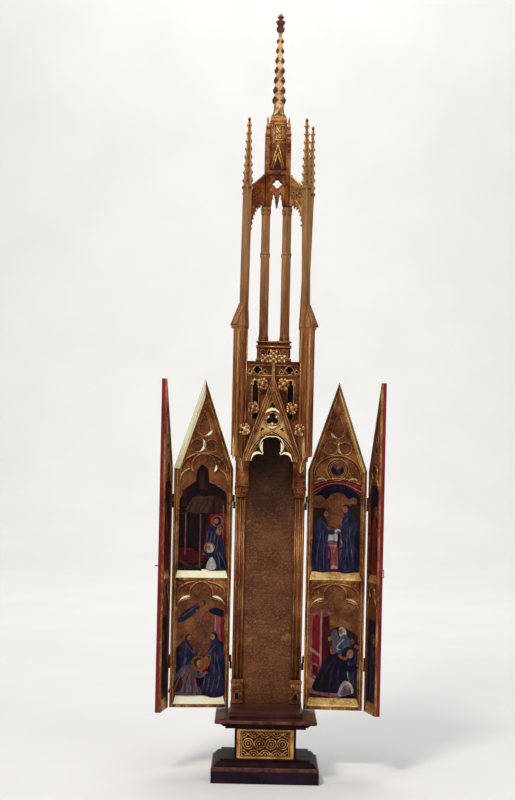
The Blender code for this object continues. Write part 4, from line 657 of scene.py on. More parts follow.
def inner_wing(side):
    word, middle = SIDES[side], WING_MIDDLE
    add = partial(piece, body=f"inner_wing_{word}", matrix=wing_place(side))
    left, right = WING_EDGE, WING_WIDTH - WING_EDGE
    near, far = middle - FIELD, middle + FIELD
    # Painted highlight for the far rake and the sills: sunlit gold on the left wing, yellow gold on the right
    lit = sunlit_gold if side < 0 else yellow_gold
    outer = [(left, WING_BOTTOM), (left, WING_SHOULDER), (middle, WING_APEX), (right, WING_SHOULDER),
             (right, WING_BOTTOM)]
    inner = [(near, WING_BOTTOM), (near, FIELD_SHOULDER), (middle, INNER_APEX), (far, FIELD_SHOULDER),
             (far, WING_BOTTOM)]
    # The rake away from the hinge catches the light: its leaf carries a painted highlight in the lit gold
    bright_rake = {(2, j): 4 for j in (range(len(STRIP) - 1) if side < 0 else range(3, 9))}
    if side > 0:
        bright_rake.update({(2, 9): 1, (2, 10): 2})
    ground = [(near - OVERLAP, WING_BOTTOM + 0.003), (far + OVERLAP, WING_BOTTOM + 0.003),
              (far + OVERLAP, FIELD_SHOULDER), (middle, INNER_APEX), (near - OVERLAP, FIELD_SHOULDER)]
    wing_frame(add, ("wing", "inner_wing_frame"), side, (outer, inner), near, far,
               [frame_gold, red_gold, light_gold, gold, lit], lit, ground, bright_rake)

    def at_wing(points):
        return shift(points, middle, side)

    def roll(points, y, radius, closed=False):
        return level_rod(at_wing(points), y, radius, closed=closed)

    # The tracery plates, with a roll along each edge
    edge = FIELD + 0.0006
    high_centre = WING_SHOULDER + 0.0048
    low_foil, low_ring = trefoil(LOWER_TOP - 0.0245, 0.0215, LOWER_TOP - 0.047)
    low_head = mirrored(low_foil + low_ring)
    foot = LOWER_TOP - 0.049
    low_outline = [(edge, foot), (edge, LOWER_TOP), (-edge, LOWER_TOP), (-edge, foot)] + low_head[::-1]
    lobes = [circle(way * 0.0132, WING_SHOULDER + 0.0415, 0.0116, 20) for way in (-1, 1)]
    dagger = mirrored([(x, WING_SHOULDER + z) for x, z in
                       ((0, 0.0590), (0.0060, 0.0615), (0.0100, 0.0680), (0.0106, 0.0750), (0.0082, 0.0850),
                        (0.0038, 0.0965), (0, 0.1050))])
    shoulder = FIELD_SHOULDER - 0.001
    if side < 0:
        foil, ring = trefoil(high_centre, 0.0220, WING_SHOULDER - 0.0235)
        high_head, holes = mirrored(foil + ring), []
    else:
        high_head = mirrored([(FIELD * (1 - i / 10), WING_SHOULDER - 0.0240 + 0.0110 * sin(pi * i / 20))
                              for i in range(11)])
        holes = [circle(0, ROUND_Z, 0.0160, 26)]
    foot = high_head[0][1] - OVERLAP
    high_outline = [(edge, foot), (edge, shoulder), (0, INNER_APEX), (-edge, shoulder), (-edge, foot)] + high_head[::-1]
    plates = [upright([at_wing(points) for points in loops], *TRACERY_PLATE)
              for loops in ([low_outline], [high_outline, dagger, *lobes, *holes])]
    add(f"wing_tracery_{word}", plates, gold)

    arches = [[(FIELD * cos(a) * 0.985, base + rise * sin(a)) for a in (pi * i / 24 for i in range(25))]
              for base, rise in ((LOWER_TOP - 0.0210, 0.0195), (WING_SHOULDER - 0.0060, 0.0345))]
    rolls = [roll(points, 0.0014, 0.0012) for points in (low_head, high_head, *arches)]
    rolls += [roll(points, 0.0016, 0.0008, closed=True) for points in (*lobes, dagger, *holes)]
    # Painted shadows: dark lines under the arches and round the roundel
    shades = [roll([(x * 0.945, z - 0.0026) for x, z in points], 0.0017, 0.0008) for points in arches]
    if side > 0:
        rolls.append(roll(circle(0, ROUND_Z, 0.0198, 26), 0.0014, 0.0011, closed=True))
        rolls.append(roll(circle(0, ROUND_Z, 0.0130, 22), 0.0030, 0.0006, closed=True))
        shades.append(roll(circle(0, ROUND_Z, 0.0178, 26), 0.0017, 0.0008, closed=True))
    else:
        shades.append(roll(circle(0, high_centre, 0.0250, 26)[:14], 0.0017, 0.0007))
    add(f"wing_rolls_{word}", rolls, roll_gold)
    add(f"wing_hollows_{word}", shades, shade_brown)

    # Painted highlights on the leaf of the cusps: place, radius, start, end and width of each sliver
    bright = [(0, 0.0745, 0.0142, 198, 262, 0.0042), (0.0145, 0.0440, 0.0146, 140, 250, 0.0044)]
    thin = [(0, 0.0745, 0.0142, 278, 330, 0.0020), (-0.0140, 0.0430, 0.0140, 300, 400, 0.0018)]
    if side < 0:
        bright.append((0, high_centre - WING_SHOULDER, 0.0225, 176, 210, 0.0040))
        thin.append((0, high_centre - WING_SHOULDER, 0.0225, 330, 362, 0.0026))
    else:
        bright += [(way * 0.0285, -0.0235, 0.0100, 90 - way * 55, 90 + way * 60, 0.0028) for way in (-1, 1)]
    bright, thin = ([crescent(middle + x, WING_SHOULDER + z, *rest, CUSP_FACE, CUSP_RISE, side)
                     for x, z, *rest in group] for group in (bright, thin))
    for way in (-1, 1):
        for share, width, group in ((1.0, 0.0038, bright), (0.86, 0.0016, thin)):
            spine = [(way * x, z - (1 - share) * 0.030) for x, z in low_foil[2:]]
            swells = [width * sin(pi * (0.08 + 0.86 * i / (len(spine) - 1)) ** 1.6) * 0.5 + 0.0002
                      for i in range(len(spine))]
            above = [(x, z + swell) for (x, z), swell in zip(spine, swells)]
            below = [(x, z - swell) for (x, z), swell in zip(spine, swells)]
            group.append(upright([at_wing(above + below[::-1])], -GAP, CUSP_RISE))
    add(f"wing_cusps_{word}", bright, sunlit_gold if side < 0 else pale_gold)
    add(f"wing_cusps_thin_{word}", thin, light_gold)


def outer_wing(side):
    word = SIDES[side]
    add = partial(piece, body=f"outer_wing_{word}", matrix=wing_place(side, outer=True))
    left, right, near, far = WING_EDGE, OUTER_WIDTH, OUTER_NEAR, OUTER_FAR
    slope = (WING_APEX - WING_SHOULDER) / (right - left)
    drop = WING_BAR * sqrt(1 + slope**2)
    near_top, far_top = (WING_SHOULDER + slope * (x - left) - drop for x in (near, far))
    outer = [(left, WING_BOTTOM), (left, WING_SHOULDER), (right, WING_APEX), (right, WING_BOTTOM)]
    inner = [(near, WING_BOTTOM), (near, near_top), (far, far_top), (far, WING_BOTTOM)]
    ground = [(near, WING_BOTTOM + 0.003), (far, WING_BOTTOM + 0.003), (far, far_top), (near, near_top)]
    wing_frame(add, ("outer", "outer_wing_frame"), side, (outer, inner), near, far,
               [frame_gold, red_gold, gold, red_gold, gold], light_gold, ground)
    field, middle = (far - near) / 2, (far + near) / 2
    eye = 0.0068
    eyes = [circle(far - eye * 2.0, WING_SHOULDER + 0.040, eye, 14),
            circle(far - eye * 1.5, WING_SHOULDER + 0.059, eye * 0.85, 12)]
    plates, rolls = [], []
    for bottom, crown, top_near, top_far, holes in (
            (LOWER_TOP - 0.036, LOWER_TOP - 0.003, LOWER_TOP, LOWER_TOP, []),
            (WING_SHOULDER - 0.030, WING_SHOULDER + 0.012, near_top, far_top, eyes)):
        cusp = (field * 0.4, bottom + (crown - bottom) * 0.46)
        head = shift(arched((field, bottom), (cusp, sprung((field, bottom), cusp), 8), ((0, crown), -0.45, 8)), middle)
        outline = [(far + OVERLAP, bottom - 0.002), (far + OVERLAP, top_far), (near - OVERLAP, top_near),
                   (near - OVERLAP, bottom - 0.002)] + head[::-1]
        plates.append(upright([shift(points, 0, side) for points in (outline, *holes)], *TRACERY_PLATE))
        rolls.append(level_rod(shift(head, 0, side), 0.0013, 0.0009))
        rolls += [ring_rod(shift(points, 0, side), 0.0016, 0.0006) for points in holes]
    add(f"outer_tracery_{word}", plates, gold)
    add(f"outer_rolls_{word}", rolls, light_gold)


for wing_side in SIDES:
    inner_wing(wing_side)
    outer_wing(wing_side)


# ---- Painted pictures: thin layers of paint on the gold ground, each a little before the last
def tempera(name, colour, shade, light=None):
    """Egg paint laid in fine strokes: a body colour that drifts to its shade and to its light."""
    made, tree, shader = new_material(name, 0.42, gloss=0.06)
    light = light or tuple(min(1.0, c * 1.35) for c in colour)
    strokes = noise(tree, 120.0, 8.0, 0.7, (1.6, 1, 0.5), offset=4.0)
    tone = ramp(tree, strokes, (0.32, shade), (0.50, colour), (0.68, light))
    hatch = ramp(tree, noise(tree, 900.0, 2.0, 0.5, (1, 1, 0.25)), (0.35, 0.78), (0.6, 1.0))
    tree.links.new(mix(tree, 0.7, tone, hatch, "MULTIPLY"), shader.inputs["Base Color"])
    return made


PAINTS = {
    "blue": tempera("blue", (0.018, 0.016, 0.041), (0.006, 0.006, 0.016), (0.040, 0.042, 0.085)),
    "deep blue": tempera("deep blue", (0.008, 0.007, 0.020), (0.004, 0.003, 0.009), (0.015, 0.014, 0.036)),
    "pale blue": tempera("pale blue", (0.052, 0.058, 0.105), (0.018, 0.019, 0.044), (0.14, 0.15, 0.21)),
    "crimson": tempera("crimson", (0.150, 0.010, 0.014), (0.07, 0.005, 0.009), (0.24, 0.022, 0.022)),
    "dark red": tempera("dark red", (0.050, 0.006, 0.008), (0.020, 0.003, 0.005), (0.085, 0.010, 0.012)),
    "rose": tempera("rose", (0.21, 0.052, 0.060), (0.11, 0.024, 0.034), (0.34, 0.12, 0.12)),
    "pink": tempera("pink", (0.33, 0.150, 0.130), (0.20, 0.075, 0.075), (0.48, 0.27, 0.23)),
    "flesh": tempera("flesh", (0.22, 0.100, 0.055), (0.10, 0.040, 0.022), (0.38, 0.20, 0.12)),
    "hair": tempera("hair", (0.035, 0.014, 0.010), (0.012, 0.006, 0.005)),
    "white": tempera("white", (0.34, 0.32, 0.31), (0.13, 0.12, 0.15), (0.62, 0.58, 0.54)),
    "grey": tempera("grey violet", (0.085, 0.062, 0.090), (0.034, 0.024, 0.040), (0.17, 0.13, 0.16)),
    "green": tempera("dark green", (0.014, 0.014, 0.010), (0.006, 0.005, 0.005)),
    "black": tempera("near black", (0.012, 0.006, 0.008), (0.005, 0.003, 0.004)),
    "umber": tempera("umber", (0.030, 0.013, 0.011), (0.012, 0.005, 0.006)),
    "tan": tempera("tan", (0.055, 0.027, 0.018), (0.024, 0.012, 0.008)),
    "gilt": tempera("gilt ground", (0.168, 0.056, 0.022), (0.10, 0.030, 0.013), (0.26, 0.10, 0.036)),
    "orange": tempera("orange", (0.34, 0.075, 0.018), (0.16, 0.028, 0.010)),
    "halo": gilding("halo", (0.50, 0.26, 0.08), (0.30, 0.125, 0.04), (0.15, 0.055, 0.02), metallic=0.6),
}
PAINT_NAMES = list(PAINTS)
PAINT_FRONT, LAYER = 0.00335, 0.00004
MM = 0.001
WIDE = 2 * FIELD / MM
PICTURE_FLOOR = 12.0


def smoothed(points, closed=True):
    """A soft line through the points, with four steps between each two."""
    steps, made = 4, []
    count = len(points)
    for i in range(count if closed else count - 1):
        near = [(i + k) % count if closed else min(max(i + k, 0), count - 1) for k in (-1, 0, 1, 2)]
        p0, p1, p2, p3 = (Vector(points[k]) for k in near)
        for step in range(steps):
            t = step / steps
            value = 2 * p1 + (p2 - p0) * t + (2 * p0 - 5 * p1 + 4 * p2 - p3) * t**2
            value += (3 * p1 - p0 - 3 * p2 + p3) * t**3
            made.append(tuple(value / 2))
    return made if closed else made + [tuple(points[-1])]


class Figure:
    """Turns places in a figure's own measure into millimetres; facing is 1 to the right, -1 to the left."""

    def __init__(self, x, z, facing, size):
        self.x, self.z, self.facing, self.size = x, z, facing, size

    def __call__(self, *places):
        return [(self.x + self.facing * self.size * dx, self.z + self.size * dz) for dx, dz in places]


class Picture:
    """Shapes on a field. paint, stroke, oval and head take millimetres from its lower left corner; the
    others take hundredths of its width and millimetres above the picture's floor."""

    def __init__(self, left, bottom, wide=WIDE):
        self.left, self.bottom, self.wide = left, bottom, wide
        self.bm = bmesh.new()
        self.layer = 0

    def paint(self, colour, points):
        y = PAINT_FRONT - LAYER * self.layer
        self.layer += 1
        verts = [self.bm.verts.new((self.left + x * MM, y, self.bottom + z * MM)) for x, z in points]
        self.bm.faces.new(verts).material_index = PAINT_NAMES.index(colour)

    def stroke(self, colour, points, width, taper=0.3):
        """A brush stroke along the points, thinner at its ends."""
        spine = [Vector(p) for p in smoothed(points, closed=False)]
        right, left = [], []
        last = len(spine) - 1
        for i, here in enumerate(spine):
            along = (spine[min(i + 1, last)] - spine[max(i - 1, 0)]).normalized()
            half = width / 2 * (taper + (1 - taper) * sin(pi * (0.12 + 0.76 * i / last)))
            across = Vector((-along.y, along.x)) * half
            right.append(tuple(here + across))
            left.append(tuple(here - across))
        self.paint(colour, right + left[::-1])

    def oval(self, colour, x, z, rx, rz, tilt=0.0):
        turn = radians(tilt)
        around = [(rx * cos(a), rz * sin(a)) for a in (2 * pi * step / 14 for step in range(14))]
        self.paint(colour, [(x + dx * cos(turn) - dz * sin(turn), z + dx * sin(turn) + dz * cos(turn))
                            for dx, dz in around])

    def head(self, x, z, size, facing, hood=None, halo=True):
        at = Figure(x, z, facing, size)
        if halo:
            self.oval("halo", x, z, size * 1.8, size * 1.8)
            self.oval("gilt", x, z, size * 1.62, size * 1.62)
        if hood:
            self.paint(hood, smoothed(at((-1.25, -1.3), (-1.2, 0.5), (-0.2, 1.35), (0.75, 0.75), (0.5, -1.5))))
        else:
            self.oval("hair", *at((-0.25, 0.18))[0], size * 0.98, size * 1.08)
        self.oval("flesh", *at((0.2, -0.08))[0], size * 0.66, size * 0.88, facing * -8)
        self.stroke("hair", at((0.1, 0.12), (0.6, 0.08)), size * 0.16)
        self.stroke("hair", at((0.25, -0.45), (0.55, -0.42)), size * 0.12)

    def at(self, *spots):
        return [(self.wide * x / 100, PICTURE_FLOOR + z) for x, z in spots]

    def area(self, colour, *spots):
        self.paint(colour, self.at(*spots))

    def soft(self, colour, *spots):
        self.paint(colour, smoothed(self.at(*spots)))

    def band(self, colour, x0, z0, x1, z1):
        self.area(colour, (x0, z0), (x1, z0), (x1, z1), (x0, z1))

    def line(self, colour, width, *spots):
        self.stroke(colour, self.at(*spots), width)

    def spot(self, colour, x, z, rx, rz, tilt=0.0):
        self.oval(colour, *self.at((x, z))[0], rx, rz, tilt)

    def portrait(self, x, z, size, facing, hood=None, halo=True):
        self.head(*self.at((x, z))[0], size, facing, hood, halo)

    def standing(self, x, z, h, facing, robe="blue", shade="deep blue", light="pale blue", hood=None,
                 halo=True, reach=0.34, lift=0.66):
        """A robed figure seen from the side: x is its middle, z its hem, h its height."""
        at = Figure(*self.at((x, z))[0], facing, h)
        self.head(*at((0.05, 0.925))[0], h * 0.055, facing, hood, halo)
        self.paint(robe, smoothed(at((-0.13, 0), (-0.17, 0.25), (-0.14, 0.55), (-0.10, 0.78), (0, 0.875),
                                     (0.085, 0.80), (0.11, 0.60), (0.09, 0.34), (0.15, 0))))
        self.paint(shade, smoothed(at((-0.12, 0.02), (-0.165, 0.25), (-0.135, 0.6), (-0.09, 0.5), (-0.10, 0.2))))
        for share, top, bend in ((-0.06, 0.70, 0.02), (-0.015, 0.62, 0.03), (0.03, 0.5, 0.02), (0.075, 0.42, 0.03)):
            top += chance.uniform(-0.08, 0.08)
            bend += chance.uniform(-0.03, 0.03)
            self.stroke(light, at((share * 0.5 + 0.02, top), (share + bend, chance.uniform(0.28, 0.42)),
                                  (share * 1.3, chance.uniform(0.03, 0.16))), chance.uniform(0.008, 0.018) * h)
            self.stroke(shade, at((share * 0.5 + 0.04, top - 0.05), (share + bend + 0.02, 0.30),
                                  (share * 1.3 + 0.025, 0.03)), 0.014 * h)
        self.stroke(robe, at((-0.02, 0.78), (0.12, 0.63), (reach - 0.04, lift)), 0.085 * h, 0.55)
        self.stroke(light, at((0, 0.80), (0.13, 0.66), (reach - 0.06, lift + 0.02)), 0.018 * h)
        self.oval("flesh", *at((reach, lift))[0], 0.026 * h, 0.018 * h, facing * 20)

    def kneeling(self, x, z, h, facing, robe, shade, light, hood=None, halo=True):
        """A kneeling figure, bent forward; h is to the top of its back."""
        at = Figure(*self.at((x, z))[0], facing, h)
        self.paint(robe, smoothed(at((-0.50, 0), (-0.50, 0.28), (-0.26, 0.72), (0.06, 0.88), (0.26, 0.70),
                                     (0.24, 0.35), (0.40, 0))))
        self.paint(shade, smoothed(at((-0.48, 0.02), (-0.47, 0.25), (-0.24, 0.55), (-0.16, 0.2))))
        for share in (-0.30, -0.12, 0.05, 0.2):
            self.stroke(light, at((share * 0.5 + 0.05, 0.74), (share, 0.4), (share * 1.4, 0.05)), 0.03 * h)
            self.stroke(shade, at((share * 0.5 + 0.1, 0.66), (share + 0.06, 0.36), (share * 1.4 + 0.07, 0.04)),
                        0.026 * h)
        self.head(*at((0.30, 0.92))[0], h * 0.125, facing, hood, halo)
        self.stroke(robe, at((0.1, 0.72), (0.3, 0.55), (0.50, 0.62)), 0.15 * h, 0.5)
        self.oval("flesh", *at((0.53, 0.64))[0], 0.05 * h, 0.035 * h)

    def finished(self, name, side, outer=False):
        mesh = bpy.data.meshes.new(name)
        self.bm.to_mesh(mesh)
        self.bm.free()
        piece(name, mesh, list(PAINTS.values()), f"{'outer' if outer else 'inner'}_wing_{SIDES[side]}",
              "panel_gilding", matrix=wing_place(side, outer))


def inner_picture(side, bottom):
    return Picture(side * WING_MIDDLE - FIELD, bottom)


def bowed(low, high):
    """A line across the field that rises from low to high in its middle."""
    return [(WIDE * i / 12, low + (high - low) * sin(pi * i / 12)) for i in range(13)]


def picture_right_upper():
    """Two figures in blue beside a draped stand, under a crimson arch and a dark cloud."""
    p = inner_picture(1, UPPER_BOTTOM)
    p.band("umber", 0, 0, 100, 18)
    p.band("dark red", 0, 0, 100, 7)
    p.band("umber", 0, 18, 26, 120)
    p.band("umber", 78, 18, 100, 128)
    for colour, top, bottom in (("crimson", (175.5, 186.0), (157.0, 176.0)), ("rose", (171.5, 182.4), (169.5, 181.2)),
                                ("pink", (163.0, 178.6), (161.4, 177.6))):
        p.paint(colour, bowed(*top) + bowed(*bottom)[::-1])
    p.paint("deep blue", [(1, 154), (8, 160), (16, 167), (28, 173), (43, 175.5), (58, 173.5), (70, 168), (79, 161),
                          (85.8, 152), (86, 136), (83, 142), (79, 150), (73, 153), (66, 148), (62, 150), (56, 158),
                          (44, 161), (33, 158), (27, 150), (24, 147), (20, 150), (14, 155), (7, 154)])
    p.stroke("blue", [(26, 164), (36, 169), (48, 170), (58, 167)], 2.4)
    p.stroke("umber", [(84, 150), (82, 138), (84, 122)], 7.0)
    p.band("rose", 30, 12, 62, 56)
    p.band("crimson", 30, 12, 35, 56)
    p.band("pink", 27, 9, 65, 15)
    p.band("pink", 28, 50, 64, 53)
    p.area("white", (26, 54), (34, 74), (52, 74), (64, 56), (45, 55))
    p.area("grey", (27, 54), (36, 62), (58, 60), (62, 56))
    p.standing(20, 6, 112, 1, reach=0.27, halo=False)
    p.standing(76, 6, 122, -1, hood="blue", reach=0.20, lift=0.62, halo=False)
    p.spot("white", 53, 78, 5.6, 4.6)
    p.spot("grey", 54, 75.5, 4.2, 2.6)
    p.line("deep blue", 5.0, (55, 74), (56, 60), (54, 48))
    p.line("crimson", 2.6, (36, 88), (44, 84), (50, 82))
    p.finished("picture_right_upper", 1)


def picture_right_lower():
    """A crimson building with pale columns, and a crowd in blue before it."""
    p = inner_picture(1, LOWER_BOTTOM)
    p.band("umber", 0, 0, 100, 14)
    p.band("black", 30, 0, 100, 96)
    p.area("umber", (36, 90), (40, 126), (55, 134), (74, 132), (90, 124), (100, 118), (100, 90))
    p.area("crimson", (0, 70), (22, 62), (22, 150), (0, 160))
    p.area("dark red", (22, 62), (40, 66), (40, 154), (22, 150))
    p.area("rose", (0, 156), (22, 165), (44, 160), (44, 154), (22, 159), (0, 150))
    p.band("pink", 20.5, 30, 24.5, 160)
    p.band("rose", 0, 26, 4.5, 156)
    p.area("pink", (0, 96), (23, 82), (23, 76), (0, 90))
    p.area("rose", (0, 70), (23, 62), (23, 34), (0, 44))
    p.area("dark red", (6, 64), (17, 60), (17, 42), (6, 46))
    p.area("pink", (0, 42), (26, 28), (70, 12), (66, 6), (0, 22))
    p.area("rose", (0, 22), (66, 6), (66, 2), (0, 12))
    for x, z, facing, hood in ((40, 112, 1, "umber"), (52, 122, 1, "grey"),
                               (90, 108, -1, "umber"), (98, 98, -1, "blue")):
        p.portrait(x, z, 5.2, facing, hood, halo=False)
    p.soft("grey", (46, 84), (48, 120), (56, 124), (64, 96))
    p.area("blue", (80, 10), (76, 60), (82, 98), (98, 96), (100, 40), (98, 8))
    p.standing(72, 24, 110, -1, "pale blue", "blue", "white", hood="white", halo=False, reach=0.12, lift=0.6)
    p.kneeling(56, 16, 76, 1, "deep blue", "black", "blue", hood="deep blue", halo=False)
    p.line("orange", 5.0, (60, 82), (72, 76), (80, 80))
    p.line("orange", 4.0, (44, 98), (46, 84))
    p.soft("white", (62, 8), (64, 24), (74, 36), (88, 30), (92, 14))
    p.soft("grey", (66, 10), (72, 26), (84, 26), (88, 12))
    p.spot("flesh", 80, 25, 4.2, 4.8)
    p.finished("picture_right_lower", 1)


def picture_left_lower():
    """Figures in blue round a small gold one, a crimson column behind, blue wings above."""
    p = inner_picture(-1, LOWER_BOTTOM)
    p.area("rose", (80, 60), (100, 56), (100, 158), (80, 154))
    p.band("crimson", 93, 50, 100, 158)
    p.band("pink", 80, 60, 82.5, 152)
    p.area("green", (0, 0), (100, 0), (100, 40), (70, 44), (40, 36), (0, 50))
    p.area("black", (0, 20), (0, 90), (16, 104), (34, 92), (42, 62), (58, 58),
           (68, 86), (82, 108), (100, 100), (100, 20))
    p.area("dark red", (0, 0), (100, 0), (100, 10), (50, 6), (0, 12))
    p.soft("blue", (2, 140), (14, 156), (34, 166), (52, 176), (44, 158), (24, 144), (8, 136))
    p.soft("deep blue", (66, 158), (80, 164), (98, 158), (98, 148), (82, 150))
    p.line("rose", 4.0, (40, 160), (48, 148), (50, 136))
    p.line("pale blue", 2.0, (10, 146), (28, 158), (46, 170))
    p.portrait(54, 172, 4.4, -1)
    p.standing(20, 20, 96, 1, hood="umber", reach=0.26, lift=0.62)
    p.standing(84, 4, 116, -1, hood="blue", reach=0.26, lift=0.52)
    p.soft("blue", (52, 6), (58, 30), (72, 46), (98, 40), (100, 6))
    for x in (62, 72, 82, 92):
        p.line("pale blue", 1.8, (x, 40), (x - 3, 24), (x - 7, 9))
    p.kneeling(26, 6, 62, 1, "grey", "umber", "rose")
    p.line("orange", 9.0, (50, 46), (60, 54), (70, 66))
    p.line("crimson", 4.0, (56, 46), (64, 54))
    p.portrait(66, 72, 3.8, -1)
    p.finished("picture_left_lower", -1)


def picture_left_upper():
    """A dark open shed with a tan roof, a seated figure in blue and a kneeling one."""
    p = inner_picture(-1, UPPER_BOTTOM)
    p.band("black", 0, 0, 100, 132)
    p.area("black", (0, 130), (100, 130), (97, 145), (75, 158), (62, 162), (60, 186), (46, 196), (36, 184), (34, 164),
           (14, 152))
    p.band("umber", 6, 118, 16, 148)
    p.band("umber", 40, 150, 52, 182)
    for x, z in ((9, 132), (44, 166), (22, 146), (56, 150)):
        p.spot("dark red", x, z, 1.8, 4.0)
    p.area("tan", (12, 112), (30, 136), (74, 138), (60, 108), (36, 104))
    p.area("umber", (60, 108), (74, 138), (98, 128), (98, 104))
    for x in (20, 30, 40, 50):
        p.line("umber", 1.4, (x, 110), (x + 13, 134))
    p.band("crimson", 0, 20, 30, 42)
    p.area("dark red", (0, 42), (52, 34), (60, 100), (98, 104), (100, 30), (30, 14), (0, 18))
    p.area("crimson", (66, 60), (100, 64), (100, 106), (66, 104))
    p.area("tan", (0, 24), (30, 8), (52, 16), (52, 12), (30, 3), (0, 18))
    p.band("green", 0, 0, 50, 9)
    for x, low, high in ((13, 30, 106), (44, 6, 104), (92, 30, 122)):
        p.band("rose", x, low, x + 1.8, high)
        p.band("tan", x + 1.8, low, x + 3.4, high)
    p.line("tan", 2.2, (4, 104), (30, 110), (62, 106))
    p.soft("blue", (50, 34), (56, 50), (62, 74), (72, 88), (86, 84), (92, 62), (98, 40), (80, 30))
    for x in (58, 66, 74, 82):
        p.line("pale blue", 1.8, (x + 4, 74), (x, 54), (x - 2, 37))
        p.line("deep blue", 1.6, (x + 7, 70), (x + 3, 50), (x + 1, 36))
    p.portrait(80, 92, 5.8, -1, "blue")
    p.spot("flesh", 84, 72, 4.6, 6.4, 20)
    p.portrait(88, 80, 3.4, -1)
    p.kneeling(80, 3, 44, -1, "blue", "deep blue", "pale blue", hood="white")
    p.soft("white", (60, 4), (62, 18), (72, 26), (80, 6))
    p.finished("picture_left_upper", -1)


def roundel_picture():
    """A small dark winged figure in the right wing's roundel."""
    p = inner_picture(1, 0)
    middle, z = WIDE / 2, ROUND_Z / MM
    for way in (-1, 1):
        p.paint("deep blue", smoothed([(middle + way * x, z + rise) for x, rise in
                                       ((2, -3), (8, 5), (12, -1), (11, -6), (5, -8))]))
    p.paint("blue", smoothed([(middle - 5, z - 9), (middle - 4, z + 1), (middle + 4, z + 1), (middle + 6, z - 9)]))
    p.head(middle, z + 5, 2.8, 1)
    p.finished("roundel_right", 1)


def outer_pictures(side):
    """Narrow fields with one dark figure each, seen from the side."""
    for level, base, top, belt, paints in (("lower", LOWER_BOTTOM, 151, "green", ("blue", "deep blue", "pale blue")),
                                           ("upper", UPPER_BOTTOM, 164, "dark red", ("crimson", "dark red", "rose"))):
        wide = OUTER_FAR - OUTER_NEAR
        p = Picture(side * (OUTER_NEAR + OUTER_FAR) / 2 - wide / 2, base, wide / MM)
        for colour, low, high in (("black", 0, 16), ("umber", 16, 60), (belt, 60, 78), ("deep blue", 78, top)):
            p.band(colour, 0, low, 100, high)
        p.standing(50, 6, 118, side, *paints, hood="umber", reach=0.16, lift=0.6)
        p.finished(f"outer_picture_{SIDES[side]}_{level}", side, outer=True)


picture_right_upper()
picture_right_lower()
picture_left_lower()
picture_left_upper()
outer_pictures(-1)
roundel_picture()
outer_pictures(1)


# ---- Canopy: three gables before pierced walls
# Across the rakes and the arch: share of the width, depth from the face, and which finish comes next:
# 0 frame gold, 1 rubbed gold, 2 roll gold, 3 dark brown, a painted shade in the hollows, 4 yellow gold, a painted
# highlight
RAKE = [(0, 0.0048, 0), (0, 0.0008, 0), (0.05, 0.0001, 2), (0.20, 0.0001, 3), (0.24, 0.0016, 3), (0.29, 0.0014, 0),
        (0.34, 0.0006, 0), (0.64, 0.0006, 0), (0.69, 0.0014, 3), (0.75, 0.0016, 3), (0.80, 0.0001, 2),
        (0.94, 0.0001, 0), (1, 0.0014, 0), (1, 0.0048, 0)]
ARCH = [(0, 0.0036, 0), (0, 0.0010, 0), (0.06, 0.0002, 4), (0.20, 0.0002, 3), (0.26, 0.0013, 1), (0.44, 0.0013, 3),
        (0.48, 0.0008, 0), (0.54, 0.0006, 2), (0.66, 0.0008, 3), (0.72, 0.0018, 1), (0.90, 0.0018, 0),
        (0.94, 0.0012, 2), (1, 0.0014, 0), (1, 0.0036, 0)]
EYELET = ((0.60, 0.46), (0.70, 0.34), (0.84, 0.24), (0.80, 0.36), (0.66, 0.54))
# Crockets on a gable's rakes: drop from its apex, place beyond the rake
CROCKETS = ((0.0180, 0.0120), (0.0600, 0.0130), (0.0985, 0.0140))
# The finial's leaves: x, drop from its top, width and height
FINIAL_LEAVES = ((-0.0150, 0.0170, 0.0086, 0.0084), (0.0150, 0.0170, 0.0086, 0.0084), (0, 0.0180, 0.0090, 0.0086),
                 (0, 0.0085, 0.0090, 0.0080))
WINDOW_X = 0.031


def side_place(turn, front):
    return Matrix.Translation((0, CENTRE_Y, 0)) @ Matrix.Rotation(turn, 4, "Z") @ Matrix.Translation((0, -front, 0))


def pointed(half, foot, crown, steps=12):
    """The canopy's arch, or a line beside it."""
    return arched((half, foot), ((0, crown), -0.13, steps))


def pips(x, y, z, width, height, size):
    """Painted highlights on the tips of a crocket's knobs."""
    return [ball((x + dx * width, y, z + dz * height), (size, size * 0.8, size), 6, 5)
            for dx, dz in ((-0.74, 0.78), (0.72, 0.62), (-0.85, -0.60), (0.60, -0.80), (-0.12, 0.05))]


